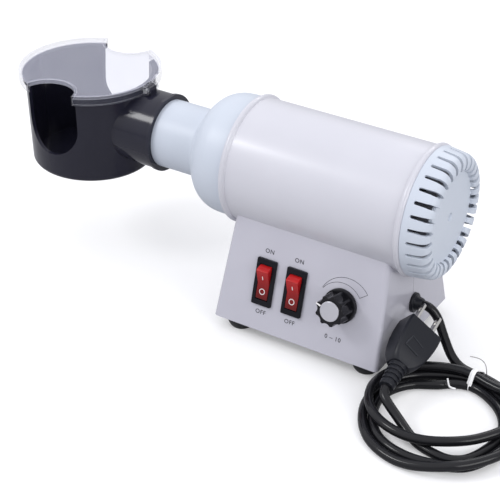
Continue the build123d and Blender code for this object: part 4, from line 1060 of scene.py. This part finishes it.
def makePointer(values):
    top, grip, width = values["top"], values["grip"], values["pointerWidth"]
    reach = grip - values["pointerTurn"]
    onTop = [(values["capSeat"] + values["pointerStart"], 0), (reach, 0)]
    strip = solidStrip(onTop, width, top - values["paintDeep"], top + values["paintProud"])
    onSide = [(reach - values["paintLap"], 0), (grip + values["sideProud"], 0)]
    side = solidStrip(onSide, width, top - values["pointerDrop"], top - values["sideTop"])
    mesh = joinMeshes("knobPointer", [strip, side])
    turn = math.radians(values["pointer"])
    along = Vector((math.cos(turn), 0, 0)) + panelUp * math.sin(turn)
    mesh.transform(planeMatrix(panelPoint(values["x"], values["up"]), along, panelOut.cross(along)))
    linkPiece("knobPointer", mesh, "knob", (), (markPaint,))


# lid: plate and rim of one clear moulding, with its bevelled edges painted near white as a painted highlight
lidValues = {"edge": 0.5, "radius": 46.3, "skirtRadius": 44.4, "plateDepth": 2.8}


def makeLid(values):
    axis = Vector((lidLow.x + values["radius"] * mm, middleY))
    plateLow = lidHigh.z - values["plateDepth"] * mm

    # faces outside the plate or below it take the darker painted-shade copy
    def sortFace(face):
        middle = face.calc_center_median()
        return int((middle.xy - axis).length > values["skirtRadius"] * mm or middle.z < plateLow)

    roundedNode(
        "clear_lid", "clearLid", "lid", "clear_lid", (lidPlastic, lidSkirtShade, lidEdgeHighlight),
        values["edge"], sorter=sortFace, bevelFinish=2,
    )


# seams: where the two half shells meet on the end walls
seamValues = {
    "width": 0.28, "deep": -0.05, "proud": 0.02, "slope": 0.0735, "half": 57.5,
    "bottom": 0.2, "top": 51.5, "gland": 23.0, "glandRadius": 6.4,
}


def makeSeams(values):
    lean = math.atan(values["slope"])
    meshes = []
    for side in (-1, 1):
        origin = Vector((baseX + side * values["half"] * mm, middleY, shellLow.z))
        upward = Vector((-side * math.sin(lean), 0, math.cos(lean)))
        along = Vector((0, side, 0))
        stops = [values["bottom"], values["top"]]
        if side == 1:  # the gland breaks the seam on the right end
            stops[1:1] = [values["gland"] - values["glandRadius"], values["gland"] + values["glandRadius"]]
        for first, last in zip(stops[::2], stops[1::2]):
            mesh = solidStrip([(0, first), (0, last)], values["width"], values["deep"], values["proud"])
            mesh.transform(planeMatrix(origin, along, upward))
            meshes.append(mesh)
    linkPiece("shellSeams", joinMeshes("shellSeams", meshes), "housing", (), (seamShade,))


# plug: rounded copy of the moulding, with the two ribs and their link on its top
plugValues = {
    "face": (148.15, -17.4, 29.8), "axis": (-0.022, 0.960, 0.279), "side": (0.745, 0.202, -0.636), "top": 8.12,
    "ribs": [((-4.8, 12.8), (4.2, 14.8)), ((-6.3, 20.5), (3.8, 21.4)), ((-4.8, 12.8), (-6.3, 20.5))],
    "ribWidth": 0.6, "ribRise": 0.3, "ribRoot": 0.3, "edge": 0.4, "bladeEdge": 0.16, "glandEdge": 0.3,
}


def makePlug(values):
    roundedNode("plug_body", "plugMoulding", "housing", "cord_black", (plugRubber,), values["edge"], angle=26)
    roundedNode("plug_blades", "plugBlades", "housing", "contact_brass", (bladeMetal,), values["bladeEdge"])
    roundedNode("strain_relief", "cordGland", "housing", "cord_black", (plugRubber,), values["glandEdge"])
    forward = Vector(values["axis"]).normalized()
    across = Vector(values["side"])
    across = (across - forward * across.dot(forward)).normalized()
    back = -forward
    low, high = values["top"] - values["ribRoot"], values["top"] + values["ribRise"]
    meshes = [solidStrip(ends, values["ribWidth"], low, high) for ends in values["ribs"]]
    mesh = joinMeshes("plugRibs", meshes)
    matrix = planeMatrix(Vector(values["face"]) * mm, across, back)
    if (matrix.to_3x3() @ Vector((0, 0, 1))).z < 0:
        mesh.transform(Matrix.Diagonal((1, 1, -1, 1)))
        mesh.flip_normals()
    mesh.transform(matrix)
    linkPiece("plugRibs", mesh, "housing", (), (plugRubber,))


# tie: a paper strap round the outer passes, and the loose ends of its wire
tieValues = {
    "angle": 86.0, "width": 3.2, "thick": 0.45, "ridge": 0.3, "reach": 3.0, "lowest": 0.8, "turnSteps": 8,
    "paperRadius": 0.55, "wireRadius": 0.28, "edgeShare": 0.7, "edgeRound": 0.25, "ridgeFoot": 0.55, "ridgeHead": 0.3,
    # the strands it turns about: distance from the coil's middle, and height
    "turns": [(46.9, 2.9), (38.4, 8.6), (35.2, 2.9)],
    "paperEnd": [
        (172.0, -26.6, 9.4), (172.8, -27.4, 8.4), (174.4, -29.4, 6.6), (176.0, -29.8, 6.1), (178.8, -29.2, 6.0),
    ],
    "wireEnd": [
        (188.4, -5.6, 5.2), (187.6, -4.6, 9.0), (185.6, -4.0, 12.6), (181.6, -4.6, 14.8), (177.1, -7.1, 15.5),
    ],
}


def sweptMesh(name, path, section):
    work = bmesh.new()
    rings = [
        [work.verts.new(place + outward * (v * mm) + across * (u * mm)) for u, v in section]
        for place, outward, across in path
    ]
    skinRings(work, rings, True)
    return meshFrom(work, name)


def wireMesh(name, points, radius):
    mesh = plainMesh(newObject(name, roundCurve(name, points, radius, 12, 3)), name)
    smoothShade(mesh, 50)
    return mesh


def makeTie(values, cord):
    turn = math.radians(values["angle"])
    outward = Vector((math.cos(turn), math.sin(turn), 0))
    across = Vector((math.sin(turn), -math.cos(turn), 0))
    centre = Vector((*cord["coilCentre"], 0)) * mm
    turns, path = values["turns"], []
    for before, (middle, height), after in zip(turns[-1:] + turns[:-1], turns, turns[1:] + turns[:1]):
        first = math.atan2(before[0] - middle, height - before[1])
        last = math.atan2(middle - after[0], after[1] - height)
        while last < first:
            last += 2 * math.pi
        strand = centre + outward * (middle * mm) + Vector((0, 0, height * mm))
        for step in range(values["turnSteps"] + 1):
            a = first + (last - first) * step / values["turnSteps"]
            away = outward * math.cos(a) + Vector((0, 0, math.sin(a)))
            place = strand + away * (values["reach"] * mm)
            place.z = max(place.z, values["lowest"] * mm)
            path.append((place, away, across))
    half, thick, ridge, share = values["width"] / 2, values["thick"], values["ridge"], values["edgeShare"]
    side = [
        (half, 0.0), (half, thick * share), (half - values["edgeRound"], thick),
        (values["ridgeFoot"], thick), (values["ridgeHead"], thick + ridge * share),
    ]
    section = [(-half, 0.0), *side, (0.0, thick + ridge), *[(-u, v) for u, v in side[:0:-1]]]
    mesh = sweptMesh("cordTie", path, section)
    smoothShade(mesh, 40)
    linkPiece("cordTie", mesh, "housing", ("cord_tie",), (tiePaper,))
    for name, key, radius, finish in (
        ("tiePaperEnd", "paperEnd", values["paperRadius"], tiePaper),
        ("tieWireEnd", "wireEnd", values["wireRadius"], tieWire),
    ):
        linkPiece(name, wireMesh(name, values[key], radius), "housing", (), (finish,))


bowlEdge, capEdge = 0.4, 0.25

makeBarrel(barrelValues)
makeNozzle(nozzleValues)
makeVentCap(ventValues)
say("barrel, nozzle and inlet cap made")
roundedNode("heat_bowl", "heatBowl", "bowl", "black_bowl", (bowlPlastic,), bowlEdge)
makeLid(lidValues)
say("bowl and lid made")
makeRockers(rockerValues)
makeKnob(knobValues)
makePointer(knobValues)
roundedNode("knob_cap", "knobCap", "knob", "cap_aluminium", (capMetal,), capEdge)
makePrinting(printValues)
makeSeams(seamValues)
say("controls made")
makePlug(plugValues)
makeTie(tieValues, cordValues)
say("plug and tie made")


# floor: pale where the camera sees it, darker in what it throws back, with a thin veil of light over it
stageValues = {
    "size": 12.0, "floorColour": (0.95, 0.95, 0.955), "bounceColour": (0.5, 0.5, 0.51), "veil": 0.16, "glow": 1.3,
}


def makeFloor(values):
    mesh = bpy.data.meshes.new("studioFloor")
    half = values["size"] / 2
    mesh.from_pydata([(-half, -half, 0), (half, -half, 0), (half, half, 0), (-half, half, 0)], [], [(0, 1, 2, 3)])
    floor = newObject("studioFloor", mesh)
    material = bpy.data.materials.new("studioFloor")
    material.use_nodes = True
    tree = material.node_tree
    shader = tree.nodes["Principled BSDF"]
    shader.inputs["Roughness"].default_value = 0.9
    shader.inputs["Specular IOR Level"].default_value = 0.1
    glow = addNode(tree, "ShaderNodeEmission", {"Color": (1, 1, 1, 1), "Strength": values["glow"]})
    path = addNode(tree, "ShaderNodeLightPath")
    seen, bounced = (*values["floorColour"], 1), (*values["bounceColour"], 1)
    tree.links.new(mixColours(tree, path.outputs["Is Camera Ray"], bounced, seen), shader.inputs["Base Color"])
    veil = mathNode(tree, "MULTIPLY", path.outputs["Is Camera Ray"], values["veil"])
    mixed = addNode(tree, "ShaderNodeMixShader", {"Fac": veil, 1: shader.outputs[0], 2: glow.outputs[0]})
    tree.links.new(mixed.outputs[0], tree.nodes["Material Output"].inputs["Surface"])
    mesh.materials.append(material)


# world: a dome that is brighter on one side, and white where it is seen
worldValues = {
    "colour": (0.955, 0.96, 1.0), "brightSide": (-0.38, -0.1, 0.92), "dim": 0.46, "bright": 1.16,
    "dimFrom": -0.1, "brightFrom": 0.75,
}


def makeWorld(values):
    world = bpy.data.worlds.new("studioWorld")
    bpy.context.scene.world = world
    world.use_nodes = True
    tree = world.node_tree
    background = tree.nodes["Background"]
    background.inputs["Color"].default_value = (*values["colour"], 1)
    direction = addNode(tree, "ShaderNodeTexCoord").outputs["Generated"]
    bright = tuple(Vector(values["brightSide"]).normalized())
    facing = addNode(tree, "ShaderNodeVectorMath", {0: direction, 1: bright}, operation="DOT_PRODUCT")
    strength = addNode(
        tree, "ShaderNodeMapRange",
        {
            "Value": facing.outputs["Value"], "From Min": values["dimFrom"], "From Max": values["brightFrom"],
            "To Min": values["dim"], "To Max": values["bright"],
        },
        interpolation_type="SMOOTHSTEP",
    )
    tree.links.new(strength.outputs[0], background.inputs["Strength"])
    white = addNode(tree, "ShaderNodeBackground", {"Color": (1, 1, 1, 1), "Strength": 1.0})
    path = addNode(tree, "ShaderNodeLightPath")
    seen = mathNode(tree, "MAXIMUM", path.outputs["Is Camera Ray"], path.outputs["Is Transmission Ray"])
    mixed = addNode(tree, "ShaderNodeMixShader", {"Fac": seen, 1: background.outputs[0], 2: white.outputs[0]})
    tree.links.new(mixed.outputs[0], tree.nodes["World Output"].inputs["Surface"])


lampValues = [
    # name, place, size, power, aims at
    ("keyLamp", (-0.76, -0.7, 0.98), (0.42, 0.3), 4.8, (-0.06, 0.0, 0.08)),
    ("fillLamp", (1.1, -0.3, 0.5), (0.7, 0.5), 4.5, (0.1, 0.0, 0.08)),
    ("rearLamp", (0.1, 1.1, 0.9), (0.9, 0.25), 2.4, (0.0, 0.0, 0.08)),
]


def makeLamps(rows):
    for name, place, size, power, aim in rows:
        data = bpy.data.lights.new(name, "AREA")
        data.shape = "RECTANGLE"
        data.size, data.size_y = size
        data.energy = power
        lamp = newObject(name, data)
        lamp.location = place
        lamp.rotation_euler = (Vector(aim) - Vector(place)).to_track_quat("-Z", "Y").to_euler()


makeFloor(stageValues)
makeWorld(worldValues)
makeLamps(lampValues)
say("stage lit")
